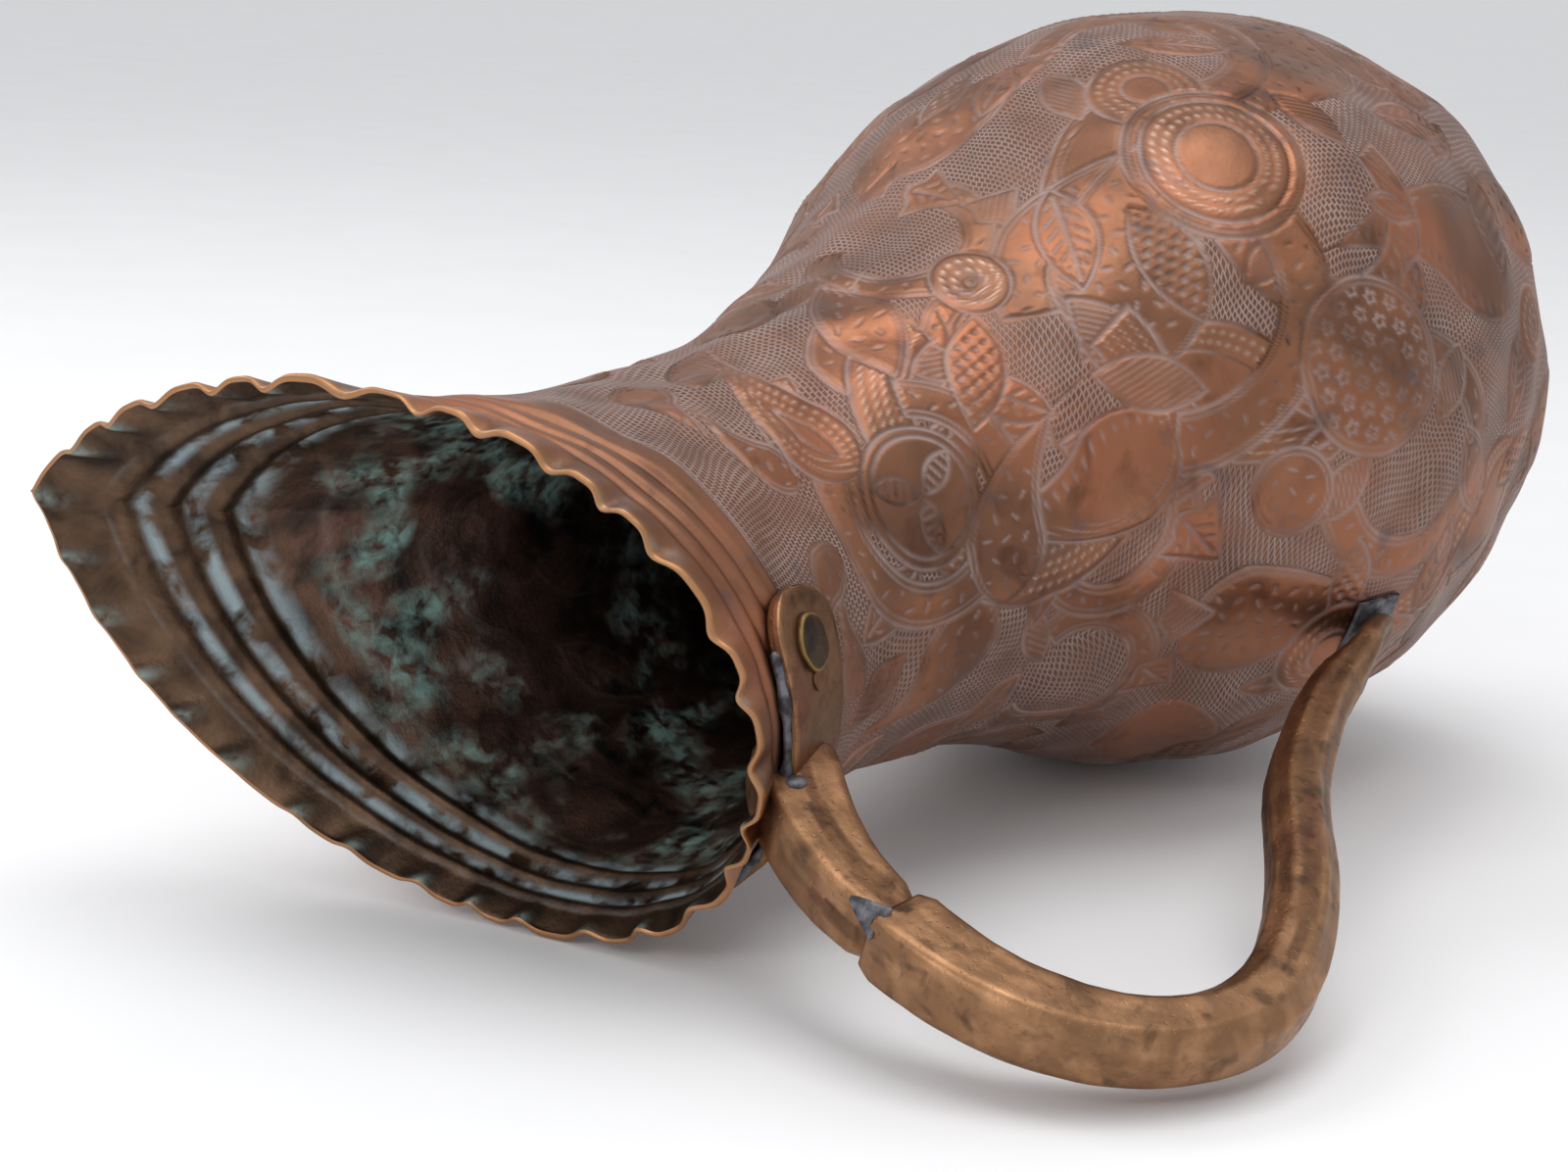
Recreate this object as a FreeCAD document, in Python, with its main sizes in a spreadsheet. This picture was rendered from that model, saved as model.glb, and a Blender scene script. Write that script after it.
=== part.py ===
import FreeCAD, Part
import math
import os

import Sketcher
from FreeCAD import Placement, Rotation, Vector

# A hand-raised copper water jug, standing upright. Millimetres, +Z up.
# The origin is the centre of the base, on the floor. The spout points along +X
# and the handle along -X, so the jug is the same on both sides of the XZ plane.

SIZES = {
    # vessel
    "belly_radius": (83.0, "outside radius where the belly is widest"),
    "belly_height": (74.0, "height of the widest place"),
    "lower_curve": (160.0, "arc radius of the belly below the widest place"),
    "shoulder_curve": (100.0, "arc radius of the shoulder above it"),
    "base_opening": (44.5, "radius of the opening that the base disc closes"),
    "neck_radius": (43.8, "outside radius of the neck"),
    "neck_height": (215.0, "height where the neck starts to flare"),
    "wall": (1.2, "thickness of the copper sheet"),
    # mouth: a teardrop in a sloping plane
    "mouth_back_height": (258.0, "height of the edge above the handle"),
    "mouth_tip_height": (301.0, "height of the spout's tip"),
    "mouth_back_reach": (54.7, "edge above the handle, from the axis"),
    "mouth_tip_reach": (90.8, "spout's tip, from the axis"),
    "mouth_back_fullness": (65.3, "sideways pull of the edge at the back"),
    "mouth_tip_fullness": (72.8, "sideways pull of the edge near the tip"),
    "mouth_tip_taper": (33.5, "how far behind the tip that pull sits"),
    "mouth_flare": (1.8, "how late the flare opens: 1 is a straight cone"),
    # base
    "base_thickness": (1.6, "base disc"),
    "base_seam": (1.0, "width of the brazed seam around the base disc"),
    # saddle of the handle
    "saddle_height": (239.5, "height of the middle of its two arms"),
    "saddle_width": (18.6, "height of an arm"),
    "saddle_span": (72.0, "across the ends of both arms"),
    "saddle_thickness": (2.6, "thickness of an arm"),
    # handle bar
    "handle_reach": (134.5, "outermost middle line of the bar, from the axis"),
    "handle_crest": (257.5, "highest middle line of the bar"),
    "notch_reach": (86.0, "joint between saddle and bar, from the axis"),
    "stem_size": (10.5, "width and depth of the saddle's stem"),
    "bar_width": (13.4, "bar across, at the bend"),
    "bar_depth": (13.6, "bar in the plane of the handle, at the bend"),
    "leg_size": (11.0, "width and depth of the lower leg"),
    "foot_height": (92.0, "end of the bar on the belly"),
    "foot_lean": (5.0, "how far the bar has leaned sideways by the time it meets the belly"),
    "foot_width": (13.0, "flattened foot, across"),
    "foot_thickness": (5.0, "flattened foot, through"),
    # joints
    "solder": (0.8, "solder between the foot and the belly"),
    "foot_solder_down": (2.0, "foot solder below the end of the bar's middle line"),
    "foot_solder_up": (9.1, "foot solder above it"),
    "solder_rise": (2.4, "height of the solder along the top of the saddle"),
    "solder_depth": (1.7, "how far that solder stands off the neck"),
    "root_solder_gap": (4.0, "from the mouth's edge down to the solder over the stem"),
    "root_solder_depth": (5.5, "how far the solder over the stem stands off the neck"),
    "braze": (0.5, "braze between the stem and the bar"),
    "rivet_angle": (30.0, "rivets, away from the middle of the handle"),
    "rivet_head": (5.0, "radius of a rivet head"),
    "rivet_rise": (1.5, "height of a rivet head"),
    "rivet_shank": (2.4, "radius of a rivet's shank"),
    "rivet_tail": (3.8, "radius of the hammered tail inside the neck"),
    "rivet_clearance": (0.1, "shank to hole, on radius"),
    "plug_angle": (22.4, "plug, away from the middle of the handle"),
    "plug_radius": (2.5, "radius of the plug's head"),
    "plug_shank": (1.3, "radius of the plug's shank"),
    "plug_rise": (0.7, "height of the plug's head"),
}

# The free curve of the bar between the saddle and the foot, as pairs: how far down from
# the crest to the foot, and how far out from the neck to the full reach.
BAR_WAY = [(0.025, 0.22), (0.0, 0.45), (0.015, 0.70), (0.085, 0.90), (0.21, 1.0),
           (0.35, 0.94), (0.47, 0.81), (0.58, 0.66), (0.69, 0.56)]

# Last points of the bar: how far above its end, and how far off the belly's skin.
FOOT_WAY = [(31.0, 16.8), (17.0, 7.5), (8.0, 2.0), (0.0, 0.0)]
FOOT_SINK = 0.6
STEM_ROOT_RISE = 1.0

# Width, depth and chamfer along the bar: (share of its length, kind of section).
BAR_SECTIONS = [(0.0, "bar"), (0.40, "bar"), (0.68, "leg"), (0.84, "leg"), (0.93, "foot"), (1.0, "foot")]
BAR_STATIONS = 15
STEM_STATIONS = 5
HEAD_SOFTNESS = 0.7
RIVET_PIN_SPARE = 0.4
PLUG_PIN_SPARE = 0.2
LOCAL_X_AS_Z = Placement(Vector(), Rotation(Vector(0, 1, 0), 90))
MOUTH_STATIONS = 6
CIRCLE_PULL = 4.0 * (math.sqrt(2.0) - 1.0) / 3.0

doc = FreeCAD.newDocument("copper_water_jug")


def make_sheet():
    """Puts every driving size into the spreadsheet, one row each."""
    sheet = doc.addObject("Spreadsheet::Sheet", "sizes")
    for row, (name, (value, meaning)) in enumerate(SIZES.items(), start=1):
        sheet.set(f"A{row}", meaning)
        sheet.set(f"B{row}", str(value))
        sheet.setAlias(f"B{row}", name)
    doc.recompute()
    return sheet


sheet = make_sheet()


def size(name):
    return float(sheet.get(name))


def origin_plane(body, role):
    return next(item for item in body.Origin.OriginFeatures if item.Role == role)


def new_sketch(body, name, role):
    sketch = body.newObject("Sketcher::SketchObject", name)
    sketch.AttachmentSupport = [(origin_plane(body, role), "")]
    sketch.MapMode = "FlatFace"
    return sketch


# ---------------------------------------------------------------- vessel profile

def arc(centre, radius, first, second):
    """Arc in the sketch plane, anticlockwise from angle first to angle second (radians)."""
    circle = Part.Circle(Vector(centre[0], centre[1], 0), Vector(0, 0, 1), radius)
    return Part.ArcOfCircle(circle, first, second)


def corner_radius(inset):
    """Radius of the arc that turns the belly into the flat base, tangent to both."""
    lower = size("lower_curve")
    height = size("belly_height")
    shift = size("base_opening") + lower - size("belly_radius")
    outer = (lower ** 2 - shift ** 2 - height ** 2) / (2.0 * (lower - height))
    return outer - inset


def neck_curve():
    """Radius of the hollow curve that brings the shoulder into the neck, tangent to both."""
    shoulder = size("shoulder_curve")
    rise = size("neck_height") - size("belly_height")
    shift = size("neck_radius") - size("belly_radius") + shoulder
    return (shift ** 2 + rise ** 2 - shoulder ** 2) / (2.0 * (shoulder - shift))


def belly_profile_radius(height):
    """Outside radius of the belly above its widest place."""
    shoulder = size("shoulder_curve")
    rise = height - size("belly_height")
    return size("belly_radius") - shoulder + math.sqrt(shoulder ** 2 - rise ** 2)


def bind(sketch, kind, targets, value, expression):
    index = sketch.addConstraint(Sketcher.Constraint(kind, *targets, value))
    sketch.setExpression(f"Constraints[{index}]", expression)
    return index


def vessel_body(name, inset, inset_text, base_cut):
    """Solid of revolution inside the vessel's outer skin, pulled in by inset.

    base_cut lowers the closing disc below the base, for a tool that also cuts the base opening.
    """
    body = doc.addObject("PartDesign::Body", name)
    sketch = new_sketch(body, name + "_profile", "XZ_Plane")
    bottom = size("base_opening")
    belly = size("belly_height")
    top = size("neck_height")
    corner = corner_radius(inset)
    lower = size("lower_curve") - inset
    shoulder = size("shoulder_curve") - inset
    hollow = neck_curve() + inset
    corner_middle = (bottom, inset + corner)
    lower_middle = (size("belly_radius") - size("lower_curve"), belly)
    shoulder_middle = (size("belly_radius") - size("shoulder_curve"), belly)
    hollow_middle = (size("neck_radius") + neck_curve(), top)
    side = math.atan2(corner_middle[1] - belly, corner_middle[0] - lower_middle[0])
    lean = math.atan2(top - belly, hollow_middle[0] - shoulder_middle[0])
    sketch.addGeometry([
        arc(corner_middle, corner, -math.pi / 2, side),
        arc(lower_middle, lower, side, 0.0),
        arc(shoulder_middle, shoulder, 0.0, lean),
        arc(hollow_middle, hollow, math.pi, math.pi + lean),
    ])
    neck = size("neck_radius") - inset
    low = inset - base_cut
    corners = [Vector(neck, top, 0), Vector(0, top, 0), Vector(0, low, 0), Vector(bottom, low, 0)]
    if base_cut > 0:
        corners.append(Vector(bottom, inset, 0))
    for first, second in zip(corners, corners[1:]):
        sketch.addGeometry(Part.LineSegment(first, second))
    tie = Sketcher.Constraint
    sketch.addConstraint([
        tie("Tangent", 0, 2, 1, 1),
        tie("Tangent", 1, 2, 2, 1),
        tie("Tangent", 2, 2, 3, 2),
        tie("Coincident", 3, 1, 4, 1),
        tie("Coincident", 4, 2, 5, 1),
        tie("Coincident", 5, 2, 6, 1),
        tie("Horizontal", 4),
        tie("Vertical", 5),
        tie("Horizontal", 6),
        tie("PointOnObject", 5, 1, -2),
    ])
    last = sketch.GeometryCount - 1
    if base_cut > 0:
        sketch.addConstraint([tie("Coincident", 6, 2, 7, 1), tie("Vertical", 7)])
    sketch.addConstraint(tie("Coincident", last, 2, 0, 1))
    origin = (-1, 1)
    bind(sketch, "DistanceX", (*origin, 0, 1), bottom, "sizes.base_opening")
    bind(sketch, "DistanceX", (*origin, 0, 3), bottom, "sizes.base_opening")
    bind(sketch, "DistanceX", (*origin, 1, 3), lower_middle[0], "sizes.belly_radius - sizes.lower_curve")
    bind(sketch, "DistanceY", (*origin, 1, 3), belly, "sizes.belly_height")
    bind(sketch, "Radius", (1,), lower, f"sizes.lower_curve - {inset_text}")
    bind(sketch, "DistanceY", (*origin, 1, 2), belly, "sizes.belly_height")
    bind(sketch, "Radius", (2,), shoulder, f"sizes.shoulder_curve - {inset_text}")
    bind(sketch, "DistanceX", (*origin, 3, 1), neck, f"sizes.neck_radius - {inset_text}")
    bind(sketch, "DistanceY", (*origin, 3, 1), top, "sizes.neck_height")
    bind(sketch, "DistanceY", (*origin, 3, 3), top, "sizes.neck_height")
    if inset == 0:
        sketch.addConstraint(tie("PointOnObject", 0, 1, -1))
    else:
        bind(sketch, "DistanceY", (*origin, 0, 1), inset, inset_text)
    if base_cut > 0:
        bind(sketch, "DistanceY", (*origin, 5, 2), low, f"{inset_text} - {base_cut}")
    doc.recompute()
    turn = body.newObject("PartDesign::Revolution", name + "_turn")
    turn.Profile = sketch
    turn.ReferenceAxis = (sketch, ["V_Axis"])
    turn.Angle = 360.0
    doc.recompute()
    return body


# ---------------------------------------------------------------- mouth

def split_curve(pulls):
    """Halves one cubic curve; gives the seven points of the two cubic curves."""
    a, b, c, d = pulls
    ab, bc, cd = (a + b) / 2, (b + c) / 2, (c + d) / 2
    abc, bcd = (ab + bc) / 2, (bc + cd) / 2
    middle = (abc + bcd) / 2
    return [a, ab, abc, middle, bcd, cd, d]


def circle_points(radius):
    """Half circle from -X over +Y to +X as two cubic curves."""
    pull = CIRCLE_PULL * radius
    return [Vector(-radius, 0, 0), Vector(-radius, pull, 0), Vector(-pull, radius, 0), Vector(0, radius, 0),
            Vector(pull, radius, 0), Vector(radius, pull, 0), Vector(radius, 0, 0)]


def edge_points(inset):
    """Half of the mouth's edge, seen from above, from the back over +Y to the spout's tip."""
    back = size("mouth_back_reach") - inset
    tip = size("mouth_tip_reach") - inset
    return split_curve([
        Vector(-back, 0, 0),
        Vector(-back, size("mouth_back_fullness") - inset, 0),
        Vector(tip - size("mouth_tip_taper"), size("mouth_tip_fullness") - inset, 0),
        Vector(tip, 0, 0),
    ])


def edge_height(share, reach_share):
    """Height of the sloping section number share, at a place from 0 (back) to 1 (tip)."""
    neck = size("neck_height")
    back = neck + (size("mouth_back_height") - neck) * share
    tip = neck + (size("mouth_tip_height") - neck) * share
    return back + (tip - back) * reach_share


def neck_circle(inset):
    """Closed wire of four quarter circles, which the bowl's top edge matches."""
    radius = size("neck_radius") - inset
    circle = Part.Circle(Vector(0, 0, size("neck_height")), Vector(0, 0, -1), radius)
    circle.XAxis = Vector(-1, 0, 0)
    quarters = [circle.toShape(turn * math.pi / 2, (turn + 1) * math.pi / 2) for turn in range(4)]
    return Part.Wire(quarters)


def mouth_section(share, inset):
    """Closed wire around the flare: share 0 is the neck's circle and 1 is the mouth's edge."""
    if share == 0:
        return neck_circle(inset)
    circle = circle_points(size("neck_radius") - inset)
    edge = edge_points(inset)
    bloom = share ** size("mouth_flare")
    plan = [start + (end - start) * bloom for start, end in zip(circle, edge)]
    length = plan[-1].x - plan[0].x
    half = [Vector(point.x, point.y, edge_height(share, (point.x - plan[0].x) / length)) for point in plan]
    other = [Vector(point.x, -point.y, point.z) for point in reversed(half)]
    edges = []
    for chain in (half, other):
        for first in (0, 3):
            curve = Part.BezierCurve()
            curve.setPoles(chain[first:first + 4])
            edges.append(curve.toShape())
    return Part.Wire(edges)


def mouth_body(name, inset, beyond=0):
    """Solid inside the flare's skin, pulled in by inset, with beyond more sections past the edge."""
    shares = [index / MOUTH_STATIONS for index in range(MOUTH_STATIONS + 1 + beyond)]
    flare = doc.addObject("Part::Feature", name)
    flare.Shape = Part.makeLoft([mouth_section(share, inset) for share in shares], True, False)
    return flare


def fuse(name, *parts):
    joined = doc.addObject("Part::MultiFuse", name)
    joined.Shapes = list(parts)
    return joined


def common(name, first, second):
    shared = doc.addObject("Part::MultiCommon", name)
    shared.Shapes = [first, second]
    return shared


def cut(name, base, tool):
    rest = doc.addObject("Part::Cut", name)
    rest.Base = base
    rest.Tool = tool
    return rest


def place(item, placement):
    item.Placement = placement
    return item


def cylinder(name, radius, height, placement=Placement()):
    """Cylinder whose radius and height are expressions over the sheet."""
    made = doc.addObject("Part::Cylinder", name)
    made.setExpression("Radius", radius)
    made.setExpression("Height", height)
    return place(made, placement)


def button(name, radius, rise, placement):
    """Round head with a softened edge, its middle on the placement and its top along local X."""
    disc = cylinder(name + "_disc", f"sizes.{radius}", f"2 * sizes.{rise}", placement.multiply(LOCAL_X_AS_Z))
    disc.Placement.Base -= placement.Rotation.multVec(Vector(size(rise), 0, 0))
    doc.recompute()
    made = doc.addObject("Part::Fillet", name)
    made.Base = disc
    soft = size(rise) * HEAD_SOFTNESS
    made.Edges = [(number, soft, soft) for number, edge in enumerate(disc.Shape.Edges, start=1) if edge.isClosed()]
    return made


outer_bowl = vessel_body("outer_bowl", 0.0, "0", 0.0)
inner_bowl = vessel_body("inner_bowl", size("wall"), "sizes.wall", 5.0)
outer_mouth = mouth_body("outer_mouth", 0.0)
inner_mouth = mouth_body("inner_mouth", size("wall"), beyond=1)
outer_skin = fuse("outer_skin", outer_bowl, outer_mouth)
inner_skin = fuse("inner_skin", inner_bowl, inner_mouth)
bare_wall = cut("bare_wall", outer_skin, inner_skin)


# ---------------------------------------------------------------- base

seam_inner = "sizes.base_opening - sizes.base_seam"
base_disc = cylinder("base_disc", seam_inner, "sizes.base_thickness")
seam_ring = cylinder("seam_ring", "sizes.base_opening", "sizes.base_thickness")
seam_bore = cylinder("seam_bore", seam_inner, "sizes.base_thickness")
base_seam = cut("base_seam_braze", seam_ring, seam_bore)


# ---------------------------------------------------------------- handle

def neck_reach(height):
    """Distance of the vessel's skin from the axis at the back, between neck and mouth."""
    neck = size("neck_height")
    share = (height - neck) / (size("mouth_back_height") - neck)
    radius = size("neck_radius")
    return radius + (size("mouth_back_reach") - radius) * share ** size("mouth_flare")


def bar_lean(down):
    """Sideways place of the bar's middle line, for a share of the way down from crest to foot."""
    return size("foot_lean") * down


def bar_curve():
    """Middle line of stem, bar and foot."""
    crest = size("handle_crest")
    foot = size("foot_height")
    start = neck_reach(size("saddle_height"))
    skin = size("solder") + size("foot_thickness") / 2
    points = [Vector(-start + size("wall"), 0, size("saddle_height") + STEM_ROOT_RISE)]
    for down, out in BAR_WAY:
        reach = start + (size("handle_reach") - start) * out
        points.append(Vector(-reach, bar_lean(down), crest + (foot - crest) * down))
    for lift, gap in FOOT_WAY:
        height = foot + lift
        reach = belly_profile_radius(height) + skin + gap - FOOT_SINK
        points.append(Vector(-reach, bar_lean((crest - height) / (crest - foot)), height))
    curve = Part.BSplineCurve()
    curve.interpolate(points)
    return curve


def section(curve, place_on_curve, width, depth, chamfer, lift=0.0):
    """Eight-sided section across the bar: width along Y, depth outward, corners cut by chamfer."""
    middle = curve.value(place_on_curve)
    along = Vector(*curve.tangent(place_on_curve)[0])
    outward = Vector(0, 1, 0).cross(along)
    half, deep = width / 2, depth / 2
    corners = [(half, deep - chamfer), (half - chamfer, deep), (chamfer - half, deep), (-half, deep - chamfer),
               (-half, chamfer - deep), (chamfer - half, -deep), (half - chamfer, -deep), (half, chamfer - deep)]
    points = [middle + Vector(0, across, 0) + outward * (out + lift) for across, out in corners]
    return Part.makePolygon(points + points[:1])


def section_kinds():
    """Width, depth and chamfer of each kind of section."""
    leg = size("leg_size")
    return {
        "bar": (size("bar_width"), size("bar_depth"), 0.27 * size("bar_width")),
        "leg": (leg, leg, 0.29 * leg),
        "foot": (size("foot_width"), size("foot_thickness"), 0.25 * size("foot_thickness")),
    }


def section_sizes(share):
    """Blends the kinds of section along the bar."""
    kinds = section_kinds()
    for (start, kind), (end, next_kind) in zip(BAR_SECTIONS, BAR_SECTIONS[1:]):
        if share <= end:
            blend = (share - start) / (end - start)
            blend = blend * blend * (3 - 2 * blend)
            return [a + (b - a) * blend for a, b in zip(kinds[kind], kinds[next_kind])]
    return kinds["foot"]


def curve_at_reach(curve, reach):
    """Parameter of the first place on the curve that is this far from the axis."""
    low = curve.FirstParameter
    high = low + (curve.LastParameter - low) * 0.35
    for _ in range(40):
        middle = (low + high) / 2
        if -curve.value(middle).x < reach:
            low = middle
        else:
            high = middle
    return (low + high) / 2


def part_feature(name, shape):
    made = doc.addObject("Part::Feature", name)
    made.Shape = shape
    return made


bar_way = bar_curve()
bar_start = curve_at_reach(bar_way, size("notch_reach"))
braze_start = curve_at_reach(bar_way, size("notch_reach") - size("braze"))
bar_end = bar_way.LastParameter
stem = size("stem_size")
stem_sections = []
for index in range(STEM_STATIONS + 1):
    where = bar_way.FirstParameter + (braze_start - bar_way.FirstParameter) * index / STEM_STATIONS
    stem_sections.append(section(bar_way, where, stem, stem, 0.1 * stem))
stem_bar = part_feature("stem_bar", Part.makeLoft(stem_sections, True, False))
braze_sections = [section(bar_way, where, stem, stem, 0.1 * stem) for where in (braze_start, bar_start)]
bar_braze = part_feature("bar_braze", Part.makeLoft(braze_sections, True, True))
bar_sections = []
for index in range(BAR_STATIONS + 1):
    share = index / BAR_STATIONS
    where = bar_start + (bar_end - bar_start) * share
    bar_sections.append(section(bar_way, where, *section_sizes(share)))
whole_bar = part_feature("whole_bar", Part.makeLoft(bar_sections, True, False))

# The saddle: a sheet that follows the neck, cut to a band with round ends, with the stem on it.
saddle_skin = mouth_body("saddle_skin", -size("saddle_thickness"))
arm_body = doc.addObject("PartDesign::Body", "arm_body")
arm_sketch = new_sketch(arm_body, "arm_outline", "YZ_Plane")


def slot_outline(sketch, half_span, half_width, height):
    """Band with round ends, as long as 2 half_span and as high as 2 half_width."""
    end = half_span - half_width
    sketch.addGeometry([
        Part.LineSegment(Vector(-end, height + half_width, 0), Vector(end, height + half_width, 0)),
        arc((end, height), half_width, -math.pi / 2, math.pi / 2),
        Part.LineSegment(Vector(end, height - half_width, 0), Vector(-end, height - half_width, 0)),
        arc((-end, height), half_width, math.pi / 2, 3 * math.pi / 2),
    ])
    tie = Sketcher.Constraint
    sketch.addConstraint([
        tie("Tangent", 0, 2, 1, 2), tie("Tangent", 1, 1, 2, 1), tie("Tangent", 2, 2, 3, 2),
        tie("Tangent", 3, 1, 0, 1), tie("Equal", 1, 3),
        tie("Symmetric", 1, 3, 3, 3, -2),
    ])
    bind(sketch, "Radius", (1,), half_width, "sizes.saddle_width / 2")
    bind(sketch, "DistanceX", (-1, 1, 1, 3), end, "(sizes.saddle_span - sizes.saddle_width) / 2")
    bind(sketch, "DistanceY", (-1, 1, 1, 3), height, "sizes.saddle_height")


slot_outline(arm_sketch, size("saddle_span") / 2, size("saddle_width") / 2, size("saddle_height"))
arm_pad = arm_body.newObject("PartDesign::Pad", "arm_pad")
arm_pad.Profile = arm_sketch
arm_pad.setExpression("Length", "sizes.mouth_tip_reach")
arm_pad.Reversed = True
doc.recompute()
arms = common("arms", saddle_skin, arm_body)
arms_and_stem = fuse("arms_and_stem", arms, stem_bar)
bare_saddle = cut("bare_saddle", arms_and_stem, outer_skin)
doc.recompute()


# ---------------------------------------------------------------- rivets

def skin_distance(skin, angle, height):
    """Distance of a skin from the axis, in a direction (degrees from +X) at a height."""
    reach = 2 * size("mouth_tip_reach")
    direction = Vector(math.cos(math.radians(angle)), math.sin(math.radians(angle)), 0)
    foot = Vector(0, 0, height)
    ray = Part.makeLine(foot, foot + direction * reach)
    return ray.common(skin.Shape).Length


def skin_placement(skin, angle, height, depth=0.0):
    """Placement on a skin with local X along the skin's outward normal and local Z upward."""
    step = 1.0
    here = skin_distance(skin, angle, height)
    lean = math.atan((skin_distance(skin, angle, height + step) - here) / step)
    turn = Rotation(Vector(0, 0, 1), angle).multiply(Rotation(Vector(0, 1, 0), math.degrees(lean)))
    surface = Rotation(Vector(0, 0, 1), angle).multVec(Vector(here, 0, 0)) + Vector(0, 0, height)
    return Placement(surface - turn.multVec(Vector(depth, 0, 0)), turn)


SHANK_RUN = "sizes.wall + sizes.saddle_thickness + {extra}"


def shank(name, radius, angle, spare):
    """Pin through neck and saddle, standing spare past both skins."""
    start = skin_placement(saddle_skin, angle, size("saddle_height"),
                           size("wall") + size("saddle_thickness") + spare)
    return cylinder(name, radius, SHANK_RUN.format(extra=2 * spare), start.multiply(LOCAL_X_AS_Z))


def make_rivet(name, angle):
    """Round head outside, shank through both sheets, and the hammered tail inside."""
    height = size("saddle_height")
    head = button(name + "_head", "rivet_head", "rivet_rise", skin_placement(saddle_skin, angle, height))
    tail = button(name + "_tail", "rivet_tail", "rivet_rise", skin_placement(inner_mouth, angle, height))
    pin = shank(name + "_shank", "sizes.rivet_shank", angle, RIVET_PIN_SPARE)
    seated_head = cut(name + "_seated_head", head, saddle_skin)
    seated_tail = common(name + "_seated_tail", tail, inner_mouth)
    return seated_head, fuse(name, seated_head, pin, seated_tail)


near_angle = 180.0 + size("rivet_angle")
far_angle = 180.0 - size("rivet_angle")
plug_angle = 180.0 + size("plug_angle")
near_head, rivet_near = make_rivet("saddle_rivet_near", near_angle)
far_head, rivet_far = make_rivet("saddle_rivet_far", far_angle)
plug_dome = button("plug_dome", "plug_radius", "plug_rise",
                   skin_placement(saddle_skin, plug_angle, size("saddle_height")))
plug_head = cut("plug_head", cut("plug_outside", plug_dome, saddle_skin), near_head)
plug_pin = shank("plug_pin", "sizes.plug_shank", plug_angle, PLUG_PIN_SPARE)
plug = fuse("saddle_plug", plug_head, plug_pin)

HOLE_SPARE = 6.0
rivet_hole = "sizes.rivet_shank + sizes.rivet_clearance"
holes = fuse("rivet_holes",
             shank("near_hole", rivet_hole, near_angle, HOLE_SPARE),
             shank("far_hole", rivet_hole, far_angle, HOLE_SPARE),
             shank("plug_hole", "sizes.plug_shank + sizes.rivet_clearance", plug_angle, HOLE_SPARE))
vessel_wall = cut("vessel_wall", bare_wall, holes)
handle_saddle = cut("handle_saddle", bare_saddle, holes)


# ---------------------------------------------------------------- solder

def box(name, low, high):
    """Box between two corners, each a list of three expressions over the sheet."""
    made = doc.addObject("Part::Box", name)
    for axis, side, first, last in zip("xyz", ("Length", "Width", "Height"), low, high):
        made.setExpression(f"Placement.Base.{axis}", first)
        made.setExpression(side, f"({last}) - ({first})")
    return made


saddle_top = "sizes.saddle_height + sizes.saddle_width / 2"
straight = "(sizes.saddle_span - sizes.saddle_width) / 2"
solder_skin = mouth_body("solder_skin", -size("solder_depth"))
root_skin = mouth_body("root_skin", -size("root_solder_depth"))
seam_box = box("seam_box", ["-sizes.mouth_tip_reach", f"-{straight}", saddle_top],
               ["0", straight, f"{saddle_top} + sizes.solder_rise"])
root_box = box("root_box", ["-sizes.mouth_tip_reach", "-sizes.stem_size / 2", saddle_top],
               ["0", "sizes.stem_size / 2", "sizes.mouth_back_height - sizes.root_solder_gap"])
solder_blank = fuse("solder_blank", common("seam_fill", solder_skin, seam_box),
                    common("root_fill", root_skin, root_box))
solder_off_neck = cut("solder_off_neck", solder_blank, outer_skin)
saddle_solder = cut("saddle_solder", solder_off_neck, bare_saddle)

foot_skin = vessel_body("foot_skin", -size("solder"), "-sizes.solder", 0.0)
handle_bar = cut("handle_bar", whole_bar, foot_skin)
foot_low = ["-sizes.handle_reach", "sizes.foot_lean - sizes.foot_width / 2", "sizes.foot_height - sizes.foot_solder_down"]
foot_high = ["0", "sizes.foot_lean + sizes.foot_width / 2", "sizes.foot_height + sizes.foot_solder_up"]
foot_box = box("foot_box", foot_low, foot_high)
foot_solder = cut("foot_solder", common("foot_fill", foot_skin, foot_box), outer_bowl)


# ---------------------------------------------------------------- check and write

NODES = [vessel_wall, base_disc, base_seam, handle_saddle, handle_bar, bar_braze, rivet_near, rivet_far,
         plug, saddle_solder, foot_solder]

doc.recompute()
for item in doc.Objects:
    if "Invalid" in item.State or "Error" in item.State:
        raise RuntimeError(f"{item.Name} failed: {item.State}")
os.makedirs("parts", exist_ok=True)
for node in NODES:
    node.Label = node.Name
    shape = node.Shape
    if shape.isNull() or not shape.isValid() or not shape.Solids:
        raise RuntimeError(f"{node.Name} has no valid solid")
    shape.exportStep(f"parts/{node.Name}.step")
    print(f"{node.Name}: {len(shape.Solids)} solid, {shape.Volume / 1000:.2f} cm3")
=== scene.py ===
# %% [markdown]
# # A copper water jug
#
# The jug was raised by hand from one sheet of copper. It has a pear-shaped belly, a beak
# spout with a crimped edge, a chased and punched body, and a solid bar handle that is
# riveted and soldered to the neck. This notebook loads the measured frame of the jug, which
# says how big it is and where each piece sits, and then builds the looks around it.

# %% Load the frame
import bmesh
import bpy
import math
import numpy as np
from functools import partial
from mathutils import Matrix, Vector


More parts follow.
